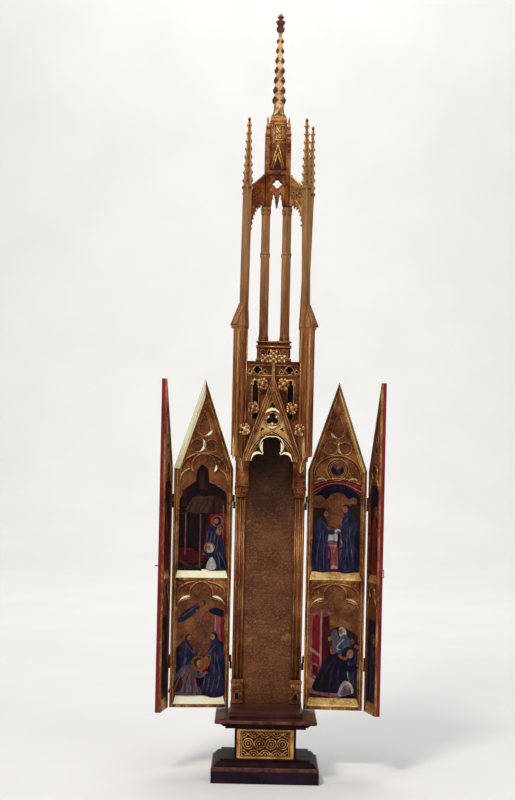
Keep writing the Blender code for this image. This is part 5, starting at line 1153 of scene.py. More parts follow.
def fine_gable(word, half_side, half_across, turn):
    add = partial(piece, matrix=side_place(turn, half_across + GABLE_FRONT))
    # The front gable's painted highlights are in sunlit gold, the sides' in light gold
    lit_gold = sunlit_gold if word == "front" else light_gold
    half_foot = half_side + GABLE_FRONT - GABLE_THICKNESS - POST_WIDTH / sqrt(2) - 2 * GAP
    slope = (GABLE_APEX - GABLE_FOOT) / half_foot
    inner_apex = GABLE_APEX - GABLE_BAR * sqrt(1 + slope**2)
    inner_foot = (inner_apex - GABLE_FOOT) / slope
    outer, inner = ([(-foot, SPRINGING), (-foot, GABLE_FOOT), (0, apex), (foot, GABLE_FOOT), (foot, SPRINGING)]
                    for foot, apex in ((half_foot, GABLE_APEX), (inner_foot, inner_apex)))
    arch = pointed(ARCH_HALF, SPRINGING, CROWN)
    around = pointed(ARCH_HALF + ARCH_BAND * 1.2, SPRINGING, CROWN + ARCH_BAND * 1.25)
    add(f"gable_moulding_{word}", [moulded(outer, inner, RAKE), moulded(around, arch, ARCH)],
        [frame_gold, red_gold, roll_gold, shade_brown, yellow_gold], stands_for=[f"gable_{word}"])

    # The cusped head inside the arch, with a pierced eyelet at each haunch
    lobe_end = (ARCH_HALF * 0.44, SPRINGING + ARCH_RISE * 0.26)
    head = arched((ARCH_HALF - 0.0002, SPRINGING + 0.0004), (lobe_end, sprung((ARCH_HALF, SPRINGING), lobe_end), 8),
                  ((ARCH_HALF * 0.41, SPRINGING + ARCH_RISE * 0.33), 0, 1), ((0, CROWN - 0.003), -0.40, 12))
    eyelets = [[(way * ARCH_HALF * x, SPRINGING + ARCH_RISE * z) for x, z in EYELET] for way in (-1, 1)]
    behind = [(x * 1.05, z) for x, z in arch]
    add(f"gable_cusps_{word}", upright([behind + head[::-1], *eyelets], -0.0021, 0.0021, 0.0003), gold)
    # Painted highlights: bright slivers on the head's cusps
    bright = [level_rod(head, 0.0016, 0.0009)]
    for way in (-1, 1):
        bright.append(crescent(way * ARCH_HALF * 0.66, SPRINGING + 0.0042, 0.0112, 90 + way * 34, 90 - way * 84, 0.0036,
                               0.0022, 0.0012))
        bright.append(crescent(0, CROWN - 0.0208, 0.0176, 90 - way * 62, 90 - way * 116, 0.0026, 0.0022, 0.0011))
    add(f"gable_crescents_{word}", bright, lit_gold)

    # The spandrel between arch and rakes: yellow gold below as a painted highlight, brown above, a roundel and a light.
    # The arch's band is wider than the gable's inside near the foot, so the fill starts above it
    hole = circle(0, ROUNDEL_Z, ROUNDEL_R * 0.74, 24)
    arch_line = pointed(ARCH_HALF + ARCH_BAND * 0.9, SPRINGING + 0.0004, CROWN + ARCH_BAND)
    reach = [(x, z) for x, z in arch_line if abs(x) < (inner_apex - z) / slope - 0.0004]
    parting, foot = ROUNDEL_Z + 0.004, reach[0][1]

    def rake_x(z):
        return (inner_apex - z) / slope + 0.0008

    def half_ring(points):
        return [(points[0][0], parting)] + points + [(points[-1][0], parting)]

    ring_low = half_ring(sorted(((x, z) for x, z in hole if z < parting - 0.0003),
                                key=lambda point: atan2(point[0], ROUNDEL_Z + 0.02 - point[1])))
    ring_high = half_ring(sorted(((x, z) for x, z in hole if z > parting + 0.0003), key=lambda point: point[0]))
    lower = [(rake_x(parting), parting)] + ring_low[::-1] + [(-rake_x(parting), parting), (-rake_x(foot), foot)]
    lower += reach[::-1] + [(rake_x(foot), foot)]
    add(f"gable_fill_{word}", upright([lower], -0.0026, 0.0016), yellow_gold)
    upper = [(-rake_x(parting), parting)] + ring_high + [(rake_x(parting), parting), (0, inner_apex + 0.002)]
    top_light = foils(0, ROUNDEL_Z + ROUNDEL_R * 1.5, 0.0030, 0.0031, 3, 5)
    add(f"gable_point_{word}", upright([upper, top_light], -0.0026, 0.0016), frame_gold)
    low_z = ROUNDEL_Z - ROUNDEL_R * 0.8
    shadow = [(-rake_x(low_z) * 0.8, low_z), (rake_x(low_z) * 0.8, low_z), (0, inner_apex)]
    add(f"gable_shadow_{word}", upright([shadow], -0.0043, 0.0004), black_shade)

    eye = foils(0, ROUNDEL_Z, ROUNDEL_R * 0.385, ROUNDEL_R * 0.355, 3, 9)
    wheel = upright([circle(0, ROUNDEL_Z, ROUNDEL_R * 0.84, 28), eye], -0.0020, 0.0016, 0.0004)
    add(f"gable_roundel_{word}", wheel, roll_gold)
    rolls = [ring_rod(circle(0, ROUNDEL_Z, ROUNDEL_R * 0.93, 28), 0.0009, 0.0011, 6), ring_rod(eye, 0.0012, 0.0008),
             ring_rod(top_light, 0.0022, 0.0006)]
    rolls += [ring_rod(foils(way * 0.0128, ROUNDEL_Z - 0.0118, 0.0011, 0.0011, 3, 4), 0.0022, 0.0004, 4)
              for way in (-1, 1)]
    add(f"gable_rolls_{word}", rolls, light_gold)
    # Black dots: painted shade in the pierced eyelets
    dots = [ball((way * x, 0.0026, ROUNDEL_Z + z), (0.0018, 0.0006, 0.0018), 8, 5) for way in (-1, 1)
            for x, z in ((0.0160, -0.0180), (0.0192, -0.0196), (0.0182, -0.0164))]
    add(f"gable_dots_{word}", dots, black_shade)
    # Painted highlights on the roundel: two bright crescents and three knobs
    moon = [crescent(0, ROUNDEL_Z + 0.0012, ROUNDEL_R * 0.98, 90 - 52, 90 + 52, 0.0046, 0.0010, 0.0008),
            crescent(0, ROUNDEL_Z - 0.0006, ROUNDEL_R * 0.86, 270 - 40, 270 + 40, 0.0030, 0.0010, 0.0008)]
    for angle in (radians(30), radians(150), radians(270)):
        moon.append(ball((ROUNDEL_R * 0.50 * cos(angle), 0.0006, ROUNDEL_Z + ROUNDEL_R * 0.50 * sin(angle)),
                         (0.0016, 0.0012, 0.0016), 8, 5))
    add(f"gable_moon_{word}", moon, lit_gold)

    # On the sides the pips lie flatter, so that the shut wings clear them
    ahead, size = (0.0034, 0.0017) if word == "front" else (0.0020, 0.0012)
    middle = GABLE_THICKNESS / 2
    leaves, tips = [], []
    for drop, out in CROCKETS:
        for way in (-1, 1):
            x = way * (drop / slope + out)
            leaves.append(leaf(x, middle, GABLE_APEX - drop, 0.0118, 0.0124, 0.0034, way * 0.3))
            tips += pips(x, middle - ahead, GABLE_APEX - drop, 0.0086, 0.0092, size)
    stem_top = FINIAL_TOP - 0.012
    stem = [(-0.0030, inner_apex), (0.0030, inner_apex), (0.0026, stem_top), (-0.0026, stem_top)]
    for x, drop, width, height in FINIAL_LEAVES:
        leaves.append(leaf(x, middle, FINIAL_TOP - drop, width, height, 0.0044))
        tips += pips(x, middle - 0.0042, FINIAL_TOP - drop, width * 0.8, height * 0.8, 0.0017)
    add(f"gable_leaves_{word}", [upright([stem], -0.0008, 0.0034, 0.0006), *leaves], roll_gold)
    # Painted highlights: pale gold on the front gable, yellow gold on the sides
    add(f"gable_pips_{word}", tips, pale_gold if word == "front" else yellow_gold)


def fine_wall(word, half_side, half_across, turn):
    """A wall behind a gable: lancets and a gallery of quatrefoils, all with rolled edges."""
    add = partial(piece, matrix=side_place(turn, half_across + 0.002))
    half = half_side - 0.002 - GAP
    bottom, high = SPRINGING + 0.0008, GALLERY_TOP - 0.0004
    band_bottom = GALLERY_TOP - 0.0274
    top = band_bottom - 0.006
    spring = top - 0.0108
    margin = 0.0022
    arch = pointed(ARCH_HALF + margin, bottom, CROWN + margin, 8)
    window = arched((0.0058, SPRINGING + 0.075), ((0.0058, spring), 0, 1), ((0.0026, spring + 0.0034), -0.3, 4),
                    ((0, top), -0.35, 5))
    hood = [(x * 1.5, z + 0.0012) for x, z in window[1:-1]]
    openings = [shift(window, way * WINDOW_X) for way in (-1, 1)]
    small = [0.0145, 0.0415] if half > 0.045 else [0.0145]
    gallery = [foils(way * 0.0285, GALLERY_TOP - 0.0156, 0.0040, 0.0040, 4, 6, 0.5) for way in (-1, 1)]
    gallery += [foils(way * x, GALLERY_TOP - 0.0190, 0.0022, 0.0022, 3, 6) for x in small for way in (-1, 1)]
    wall = upright([[(half, bottom), (half, high), (-half, high), (-half, bottom)] + arch[::-1], *openings, *gallery],
                   0, 0.004, 0.0003)
    rolls = [ring_rod(loop, 0.0004, 0.0009, 6) for loop in openings]
    rolls += [level_rod(shift(hood, way * WINDOW_X), 0.0002, 0.0008, 5) for way in (-1, 1)]
    rolls += [ring_rod(loop, 0.0003, 0.0008) for loop in gallery]
    for way in (-1, 1):
        for x0, x1 in ((0.0175, 0.0235), (0.0395, 0.0335)):
            slant = [(way * x0, GALLERY_TOP - 0.0215), (way * x1, GALLERY_TOP - 0.0102)]
            rolls.append(level_rod(slant, 0.0003, 0.0008, 5))
    reach = half - 0.0016

    def rail(y, z, radius, sides=6, flat=1.0):
        return level_rod([(-reach, z), (reach, z)], y, radius, sides, flat)

    rolls += [rail(0.0002, GALLERY_TOP - 0.0068, 0.0008), rail(0.0002, band_bottom + 0.0022, 0.0009)]
    rails = [rail(0.0010, GALLERY_TOP - 0.0030, 0.0024, 8, 0.8), rail(0.0010, band_bottom - 0.0014, 0.0014, 8, 0.8)]
    add(f"wall_plate_{word}", wall, red_gold, stands_for=[f"canopy_wall_{word}"])
    add(f"wall_rails_{word}", rails, red_gold)
    add(f"wall_rolls_{word}", rolls, light_gold)
    # Painted shade: a black sheet for the dark inside of the hollow canopy, just behind the openings
    x, low, high = half - 0.004, SPRINGING + 0.060, GALLERY_TOP - 0.0066
    add(f"wall_shade_{word}", upright([[(-x, low), (x, low), (x, high), (-x, high)]], -0.0050, 0.0004), black_shade)


for canopy_side in (("front", HALF_WIDTH, HALF_DEPTH, 0.0), ("left", HALF_DEPTH, HALF_WIDTH, radians(-90)),
                    ("right", HALF_DEPTH, HALF_WIDTH, radians(90))):
    fine_gable(*canopy_side)
    fine_wall(*canopy_side)


# ---- Posts: edge rolls, brackets bright with a painted highlight, copings and the crockets of the pinnacles
# The bracket's side lines: place from the corner, rise, width; and its tongue: rise, width, how far it stands out
BRACKET_LINE = ((0.1, -0.95, 0.40), (0.22, -0.5, 0.64), (0.34, 0.0, 0.86), (0.47, 0.4, 0.94))
TONGUE = ((0.004, 0.0040, 0.0006), (0.010, 0.0056, 0.0014), (0.022, 0.0062, 0.0016), (0.032, 0.0048, 0.0014),
          (0.040, 0.0022, 0.0008), (0.044, 0.0004, 0.0002))
PINNACLE_X = 0.0055


def dress_post(side, way):
    """Lines along a corner post's edges, its bracket, and the crockets of its pinnacle."""
    name = f"post_{WAYS[way]}_{SIDES[side]}"
    outward = atan2(way, side)
    place = Matrix.Translation((side * HALF_WIDTH, -0.046 if way < 0 else 0.045, 0)) @ Matrix.Rotation(outward, 4, "Z")
    half = POST_WIDTH / 2

    def at(x, y, z):
        lean = POST_LEAN[side, way] * max(0.0, (z - COPING_TOP) / (PINNACLE_TIP - COPING_TOP))
        return place @ Vector((x, y, z)) + Vector((lean, 0, 0))

    def between(start, end, radius):
        return bar(at(*start), at(*end), radius)

    low = SPRINGING + 0.012
    edges = [between((x, y, low), (x, y, SHAFT_TOP - 0.004), 0.0008)
             for y in (-half * 0.97, half * 0.97) for x in (0.0012, 0.0228)]
    # The grooves are dark rods: painted shade
    grooves = [between((x, y, low + 0.006), (x, y, SHAFT_TOP - 0.010), 0.0006)
               for y in (-half * 0.975, half * 0.975) for x in (0.0062, 0.0176)]
    edges += [between((x, y, COPING_TOP - 0.001), (x, y, UPPER_TOP - 0.001), 0.0007)
              for x in (0.0006, 0.0104) for y in (-0.0049, 0.0049)]
    piece(f"{name}_edges", edges, light_gold)
    piece(f"{name}_grooves", grooves, shade_brown)
    lip = [between((0.0292, y, SHAFT_TOP + 0.002), (0.0112, y * 0.8, COPING_TOP - 0.001), 0.0009)
           for y in (-half - 0.0016, half + 0.0016)]
    nose = [(0.0294, y, SHAFT_TOP + 0.0014) for y in (-half - 0.0018, half + 0.0018)]
    lip.append(between(*nose, 0.0014))
    for z, radius in ((UPPER_TOP + 0.0026, 0.0016 * 0.6), (UPPER_TOP + 0.0052, 0.0020 * 0.6)):
        ends = [(x, y, z) for x in (-0.0006, 0.0116) for y in (-half, half)]
        lip += [between(ends[a], ends[b], radius) for a, b in ((0, 1), (2, 3), (0, 2), (1, 3))]
    piece(f"{name}_mouldings", lip, gold)
    if way < 0:
        bracket = []
        for y in (-half, half):
            spots = [(0.024 * share, y * width, SPRINGING + rise * (0.018 if rise < 0 else 0.010))
                     for share, rise, width in BRACKET_LINE]
            bracket += [between(start, end, 0.0010) for start, end in zip(spots, spots[1:])]
        bracket.append(ball(at(0.0010, 0, SPRINGING - 0.0170), (0.0024, 0.0024, 0.0030)))
        # The tongue stands on the face turned to the light; its yellow gold, like the bracket's, is a painted highlight
        rings = []
        for rise, width, out in TONGUE:
            if side < 0:
                x, stand = 0.0239, 0.0239 + out
                ring = [(x, -width / 2), (stand, -width * 0.3), (stand, width * 0.3), (x, width / 2)]
            else:
                x, y, stand = 0.0130, 0.0002 - half, -half - out
                ring = [(x - width / 2, y), (x - width * 0.3, stand), (x + width * 0.3, stand), (x + width / 2, y)]
            rings.append([at(px, py, SPRINGING + rise) for px, py in ring])
        piece(f"{name}_bracket", [*bracket, loft(rings)], yellow_gold)
    hooks = []
    spire_low = UPPER_TOP + PINNACLE_HEIGHT * 0.06
    tall = PINNACLE_TIP - spire_low
    for number in range(8):
        share = (number + 0.55) / 8.6
        z = spire_low + tall * share
        size = 0.0047 + (0.0010 - 0.0047) * share
        for x, y, direction in corners(PINNACLE_X, 0, size * 1.25):
            base = at(x, y, z)
            hooks.append(hook(base.x, base.y, z, direction + outward, 0.0040 * (0.62 + 0.38 * (1 - share))))
    hooks.append(ball(at(PINNACLE_X, 0, PINNACLE_TIP - 0.0042), (0.0026, 0.0026, 0.0036)))
    piece(f"{name}_crockets", hooks, red_gold if way < 0 else gold)


for post_side in SIDES:
    for post_way in WAYS:
        dress_post(post_side, post_way)


# ---- Colonnettes: a pedestal with a niche, three rolls, a leafy capital and a plain block
COLUMN_X, COLUMN_HALF, COLUMN_FRONT, COLUMN_BACK = 0.0534, 0.0099, 0.0367, 0.0446
PEDESTAL_HEIGHT, NICHE_RING = 0.0438, 0.0225
CAPITAL_HEIGHT, TOP_BLOCK_HEIGHT = 0.0292, 0.039
# Slabs: how far each stands out to the inside, the outside and the front, and its bottom and top
PEDESTAL = ((0.0016, 0.0016, 0.0032, 0, 0.0030), (0.0008, 0.0008, 0.0020, 0.003, 0.0050),
            (0.0006, 0.0006, 0.0012, 0.005, 0.0378), (0.0012, 0.0012, 0.0024, 0.0358, 0.0388),
            (0.0016, 0.0016, 0.0032, 0.0388, 0.0416), (0.0008, 0.0008, 0.0012, 0.0414, 0.0438),
            (0.0014, 0.0014, 0.0028, 0.0213, 0.0237))
CAPITAL = ((0.0010, 0.0004, 0.0012, 0, 0.0022), (0.0004, 0.0, 0.0004, 0.0022, 0.0100),
           (0.0018, 0.0004, 0.0014, 0.0095, 0.0190), (0.0042, 0.0012, 0.0034, 0.0195, 0.0225),
           (0.0050, 0.0014, 0.0042, 0.0225, 0.0252), (0.0040, 0.0010, 0.0030, 0.0252, 0.0292))
TOP_BLOCK = ((0.0035, 0.0010, 0.0029, -0.039, -0.0055), (0.0042, 0.0012, 0.0038, -0.0055, -0.0030),
             (0.0047, 0.0014, 0.0042, -0.0030, 0))


def dress_colonnette(side):
    word, middle, half, front = SIDES[side], side * COLUMN_X, COLUMN_HALF, COLUMN_FRONT
    bottom, top = SLAB_TOP + 0.0004, SPRINGING - 0.0004
    foot_top, cap_low = bottom + PEDESTAL_HEIGHT, top - TOP_BLOCK_HEIGHT - CAPITAL_HEIGHT
    inner, outer = middle - side * half, middle + side * half

    def slabs(table, base):
        made = []
        for reach_in, reach_out, reach_front, low, high in table:
            x0, x1 = sorted((inner - side * reach_in, outer + side * reach_out))
            made.append(block(x0, x1, front - reach_front, COLUMN_BACK, base + low, base + high))
        return made

    def upright_line(x, y, lap, radius, sides=6):
        return cylinder(middle + x, y, foot_top - lap, cap_low + lap, radius, sides)

    core = block(middle - half + 0.0004, middle + half - 0.0004, 0.0408, COLUMN_BACK, foot_top - 0.002, cap_low + 0.002)
    rolls = [upright_line(x, 0.0404, 0.003, radius, 12)
             for x, radius in ((-0.0068, 0.0026), (0, 0.0030), (0.0068, 0.0026))]
    lines = [upright_line(x, 0.0400, 0.003, 0.0007) for x in (-0.0088, -0.0034, 0.0034, 0.0088)]
    lines += [upright_line(x, front + 0.0010, 0.002, 0.0005) for x in (-0.0068, 0.0, 0.0068)]
    # The pedestal's fluting above its ring, and the niche with a pointed head below, dark with a black sheet of painted
    # shade
    ring_z, face = bottom + NICHE_RING, front - 0.0016
    lines += [cylinder(middle + x, face, ring_z + 0.001, foot_top - 0.0078, 0.0007)
              for x in (-0.0070, -0.0042, -0.0014, 0.0014, 0.0042, 0.0070)]
    low, high = bottom + 0.0062, ring_z - 0.0022
    arch = shift(mirrored([(0.0040, low), (0.0040, high - 0.0042), (0.0028, high - 0.0014), (0, high)]), middle)
    lines.append(ring_rod(arch, face, 0.0006, 6))
    # The capital's two rows of curled leaves
    curls, pale = [], []
    for row, (z, size, spread) in enumerate(((cap_low + 0.0075, 0.0030, 0.0098), (cap_low + 0.0160, 0.0034, 0.0112))):
        y = front - 0.0006 - 0.0010 * row
        for share in (-1.0, -0.5, 0.0, 0.5, 1.0):
            x = middle + share * spread - side * 0.0010 * row
            curls.append(ball((x, y + 0.0010, z - 0.0012), (size * 0.55, 0.0020, size * 1.1)))
            curls.append(ball((x, y - 0.0004, z + size * 0.7), (size * 0.62, 0.0018, size * 0.5)))
            # Painted highlights on the leaves' tops
            pale.append(ball((x - 0.0004, y - 0.0020, z + size * 0.75), (size * 0.26, 0.0008, size * 0.22), 6, 4))
        x = inner - side * (0.0010 + 0.0012 * row)
        for y in (front + 0.002, front + 0.006):
            curls.append(ball((x, y, z), (0.0018, size * 0.5, size * 1.1)))
            curls.append(ball((x - side * 0.0008, y, z + size * 0.7), (0.0016, size * 0.55, size * 0.5)))
    piece(f"colonnette_core_{word}", core, red_gold, stands_for=[f"colonnette_{word}"])
    piece(f"colonnette_rolls_{word}", rolls, column_gold)
    piece(f"colonnette_lines_{word}", lines, roll_gold)
    piece(f"colonnette_stone_{word}", slabs(PEDESTAL, bottom) + slabs(CAPITAL, cap_low) + slabs(TOP_BLOCK, top), gold)
    piece(f"colonnette_niche_{word}", upright([arch], -face, 0.0006), black_shade)
    piece(f"colonnette_leaves_{word}", curls, red_gold)
    piece(f"colonnette_pips_{word}", pale, light_gold)


for post_side in SIDES:
    dress_colonnette(post_side)


# ---- Base: rounded mouldings and the carved front panel
PLINTH_X, PLINTH_Y, PLINTH_RECESS = 0.0955, 0.073, 0.0165
PLINTH_FACE, PLINTH_ROLL, PLINTH_SLOPE = 0.0206, 0.0079, 0.0129
COVE_HEIGHT, LIP_HEIGHT = 0.0072, 0.0055
DIE_LOW, DIE_TOP = 0.0417, 0.0944
COVE_BOTTOM = DIE_TOP + 0.0042
LIP_BOTTOM = COVE_BOTTOM + COVE_HEIGHT
LIP_TOP = LIP_BOTTOM + LIP_HEIGHT
CORNICE_TOP = LIP_TOP + 0.0026


def dress_base():
    add = partial(piece, slot="dark_paint")

    def at(z, share):
        """The plinth's outline, drawn in by a share of its full recess."""
        return z, PLINTH_X - share * PLINTH_RECESS, PLINTH_Y - share * PLINTH_RECESS

    face = PLINTH_FACE
    add("plinth_face", swept([at(0, 0.03), at(0.0008, 0.0), at(face - 0.0010, 0.0), at(face - 0.0003, 0.05),
                              at(face, 0.11)]), navy, stands_for=["plinth"])
    turns = [radians(-80 + 160 * step / 8) for step in range(9)]
    belt = [at(face + PLINTH_ROLL * (0.5 + 0.5 * sin(a) / sin(radians(80))), 0.13 - 0.13 * cos(a)) for a in turns]
    low = face + PLINTH_ROLL
    add("plinth_roll", swept([at(face, 0.11), *belt, at(low, 0.16)]), dark_edge_worn_and_highlit)
    shares = [step / 6 for step in range(7)]
    hollow = [(0.04 + 0.56 * t, 0.32 + 0.32 * t - 0.05 * sin(pi * t)) for t in shares]
    slope = [(0, 0.16), (0.0004 / PLINTH_SLOPE, 0.30), *hollow, (0.62, 0.66), (0.66, 0.74), (0.69, 0.99), (0.95, 1.0),
             (1, 1.02)]
    add("plinth_slope", swept([at(low + PLINTH_SLOPE * rise, share) for rise, share in slope]), dark)
    add("die_body", swept([(DIE_LOW, 0.0540, 0.0515), (DIE_LOW + 0.0006, 0.0545, 0.0520),
                           (DIE_TOP - 0.0004, 0.0545, 0.0520), (DIE_TOP, 0.0541, 0.0516)]), dark, stands_for=["die"])

    out_x, out_y, reach = 0.0905, 0.075, 0.019
    cove = [(COVE_BOTTOM + COVE_HEIGHT * (0.05 + 0.66 * t), 0.78 - 0.28 * t + 0.06 * sin(pi * t)) for t in shares]
    rows = [(DIE_TOP + GAP, 1), (COVE_BOTTOM, 1), (COVE_BOTTOM + 0.0003, 0.8), *cove, (COVE_BOTTOM + 0.0055, 0.30),
            (LIP_BOTTOM - 0.0002, 0.04)]
    add("cornice_cove", swept([(z, out_x - share * reach, out_y - share * reach) for z, share in rows]), dark,
        stands_for=["cornice"])
    turns = [radians(-75 + 150 * step / 6) for step in range(7)]
    lip = [(LIP_BOTTOM + LIP_HEIGHT * (0.5 + 0.5 * sin(a)), 0.0012 - 0.0012 * cos(a)) for a in turns]
    add("cornice_lip", swept([(z, out_x - cut, out_y - cut) for z, cut in
                              ((LIP_BOTTOM - 0.0002, 0.0012), *lip, (LIP_TOP, 0.0016))]), dark_edge_worn_and_highlit)
    add("cornice_slope", swept([(LIP_TOP, out_x - 0.0016, out_y - 0.0016), (CORNICE_TOP, 0.0650, 0.0563)]), dark_sheen)
    slab = [[(-0.065 + cut, -0.054 + cut, z), (0.065 - cut, -0.054 + cut, z),
             (0.065 - cut, 0.056, z), (-0.065 + cut, 0.056, z)]
            for z, cut in ((CORNICE_TOP + GAP, 0.0003), (CORNICE_TOP + 0.0009, 0.0), (SLAB_TOP - 0.0014, 0.0),
                           (SLAB_TOP - 0.0004, 0.0004), (SLAB_TOP, 0.0014))]
    add("floor_boards", loft(slab), dark_sheen, stands_for=["floor_slab"])


# Across the panel's border: share of its width, depth from the ground, and which finish comes next
PANEL_BORDER = [(0, 0.0, 0), (0, -0.0016, 0), (0.06, -0.0021, 0), (0.62, -0.0021, 0), (0.70, -0.0010, 1),
                (0.78, -0.0010, 0), (0.84, -0.0020, 0), (0.94, -0.0020, 1), (1, 0.0, 1)]


def dress_die_panel():
    """The carved panel: two rows of half circles and a row of discs, all linked by crossings."""
    half, low, high, back = 0.0505, 0.0420, 0.0941, -0.0523
    ground = back - 0.0018
    right, bottom, top = half - 0.0100, low + 0.0056, high - 0.0056
    outer, inner = ([(-x, z0), (-x, z1), (x, z1), (x, z0)] for x, z0, z1 in ((half, low, high), (right, bottom, top)))
    border = moulded(outer, inner, PANEL_BORDER, closed=True)
    border.transform(Matrix.Translation((0, ground, 0)))
    # The border's sunk steps and the ground behind the carving are dark brown: painted shade
    piece("die_frame", border, [panel_gold, shade_brown], stands_for=["die_front_panel"])
    piece("die_ground", block(-half, half, ground, back, low, high), shade_brown)
    middle, pitch, y = (bottom + top) / 2, right / 2, ground - 0.0009
    radius = pitch * 0.46
    rings = ((radius, 0.0011), (radius * 0.58, 0.0010))
    half_turn = [pi * step / 10 for step in range(11)]
    carved = []
    for number in range(4):
        x = -right + (number + 0.5) * pitch
        carved += [ring_rod(circle(x, middle, reach, 18), y, size, 6) for reach, size in rings]
        carved.append(ball((x, y, middle), (0.0018, 0.0012, 0.0018)))
        for base, way in ((bottom, 1), (top, -1)):
            carved.append(ball((x, y, base + way * 0.0030), (0.0026, 0.0011, 0.0019)))
            carved += [ball((x + dx, y, base + way * 0.0016), (0.0015, 0.0010, 0.0013)) for dx in (-0.0030, 0.0030)]
    for number in range(5):
        x = -right + number * pitch
        between = 0 < number < 4
        for base, way in ((bottom, 1), (top, -1)):
            for reach, size in rings:
                arc = [(x + reach * cos(a), base + way * reach * sin(a)) for a in half_turn]
                carved.append(level_rod([(px, pz) for px, pz in arc if abs(px) <= right + 1e-6], y, size))
            if between:
                carved.append(ball((x, y, base + way * 0.0016), (0.0017, 0.0012, 0.0013)))
        if between:
            run, rise = radius * 0.42, radius * 0.42 * 1.6
            carved += [bar((x - way * run, y, middle - rise), (x + way * run, y, middle + rise), 0.0010)
                       for way in (1, -1)]
    piece("die_carving", carved, panel_gold)


dress_base()
dress_die_panel()


# ---- Turret: base, shafts, head, flyers
# The turret's foot from the bottom up: share of its height, share of its half width
FOOT_STEPS = ((0, 0.99), (0.02, 1.0), (0.10, 1.0), (0.13, 0.96), (0.17, 0.925), (0.60, 0.925), (0.63, 0.96),
              (0.66, 1.0), (0.76, 1.0), (0.79, 0.96), (0.82, 0.915), (0.87, 0.915), (0.90, 0.94), (0.93, 0.97),
              (0.98, 0.97), (1.0, 0.95))


def on_four_sides(make):
    """Lists of meshes made for the front by make(), one set for each side of the tower, put together."""
    kept = None
    for turn in quarter_turns():
        groups = make()
        for group in groups:
            for mesh in group:
                mesh.transform(turn)
        kept = [old + new for old, new in zip(kept, groups)] if kept else groups
    return kept


def dress_turret():
    half, base, height = 0.0314, GALLERY_TOP + 0.0004, 0.0363
    foot = swept([(base + rise * height, half * share, half * share) for rise, share in FOOT_STEPS], CENTRE_Y)
    piece("turret_foot", foot, red_gold, stands_for=["turret_base"])
    light = light_shape(0.0050, base + 0.20 * height, base + 0.42 * height, base + 0.58 * height, steps=4)

    def side_lines():
        end = half * 0.98
        bands = [level_rod([(-end, base + rise * height), (end, base + rise * height)], -half, size, 6, 0.3)
                 for rise, size in ((0.05, 0.0011), (0.71, 0.0013), (0.95, 0.0011))]
        return [bands + [ring_rod(shift(light, x), -half * 0.932, 0.0007) for x in (-0.0195, -0.0065, 0.0065, 0.0195)]]

    piece("turret_bands", *on_four_sides(side_lines), light_gold)
    low = TURRET_BASE_TOP + GAP
    tall = TURRET_POST_TOP - low
    for side in SIDES:
        for way in WAYS:
            x, y = side * SPREAD, CENTRE_Y + way * SPREAD
            lines = []
            for reach, start, end in ((0.93, 0.05, 0.62), (0.93 * 0.96, 0.67, 0.95)):
                lines += [cylinder(px, py, low + start * tall, low + end * tall, 0.0006)
                          for px, py, _ in corners(x, y, POST_RADIUS * reach, 0)]
            ring = [(px, py) for px, py, _ in corners(x, y, POST_RADIUS * 1.06, 0)]
            for share in (0.015, 0.647, 0.98):
                z = low + share * tall
                lines += [bar((*start, z), (*end, z), 0.0009) for start, end in zip(ring, ring[1:] + ring[:1])]
            for z, size in ((TURRET_POST_TOP - 0.0120, 0.0026), (TURRET_POST_TOP - 0.0060, 0.0028)):
                lines += [ball((px, py, z), (size, size, size * 0.9))
                          for px, py, _ in corners(x, y, POST_RADIUS * 0.74)]
            piece(f"turret_lines_{WAYS[way]}_{SIDES[side]}", lines, gold)


def dress_turret_head():
    """On each side of the head: a steep hood over a quatrefoil, a double cusped arch and a pendant."""
    low = TURRET_POST_TOP + GAP
    height = TURRET_TOP - low
    face = -SPREAD - 0.0021
    eye_z, eye = low + height * 0.745, height * 0.082

    def line(points, radius):
        return level_rod([(x, low + height * share) for x, share in points], face, radius)

    def one_side():
        quatrefoil = foils(0, eye_z, eye, eye * 1.02, 4, 6, 0)
        rolls = [ring_rod([(x * 1.12, (z - eye_z) * 1.12 + eye_z) for x, z in quatrefoil], face, 0.0009, 6)]
        knobs = []
        # Hood: two bevelled strips that meet over the quatrefoil
        for way in (-1, 1):
            rolls.append(line([(way * 0.0125, 0.60), (way * 0.0095, 0.84), (0, 1.0)], 0.0013))
            rolls.append(line([(way * x, share) for x, share in ((0.0102, 0.10), (0.0094, 0.30), (0.0062, 0.49),
                                                                 (0.0030, 0.34), (0.0012, 0.14))], 0.0009))
            knobs += [ball((way * x, face + 0.001, low + height * share), (size, 0.0016, size))
                      for x, share, size in ((0.0086, 0.33, 0.0019), (0.0044, 0.46, 0.0014), (0.0022, 0.24, 0.0017))]
        rolls.append(ball((0, face + 0.0012, low + height * 0.10), (0.0019, 0.0019, 0.0040)))
        rolls.append(line([(-0.0150, 0.985), (0.0150, 0.985)], 0.0010))
        return [rolls, knobs]

    rolls, knobs = on_four_sides(one_side)
    piece("turret_head_rolls", rolls, gold)
    piece("turret_head_leaves", knobs, light_gold)


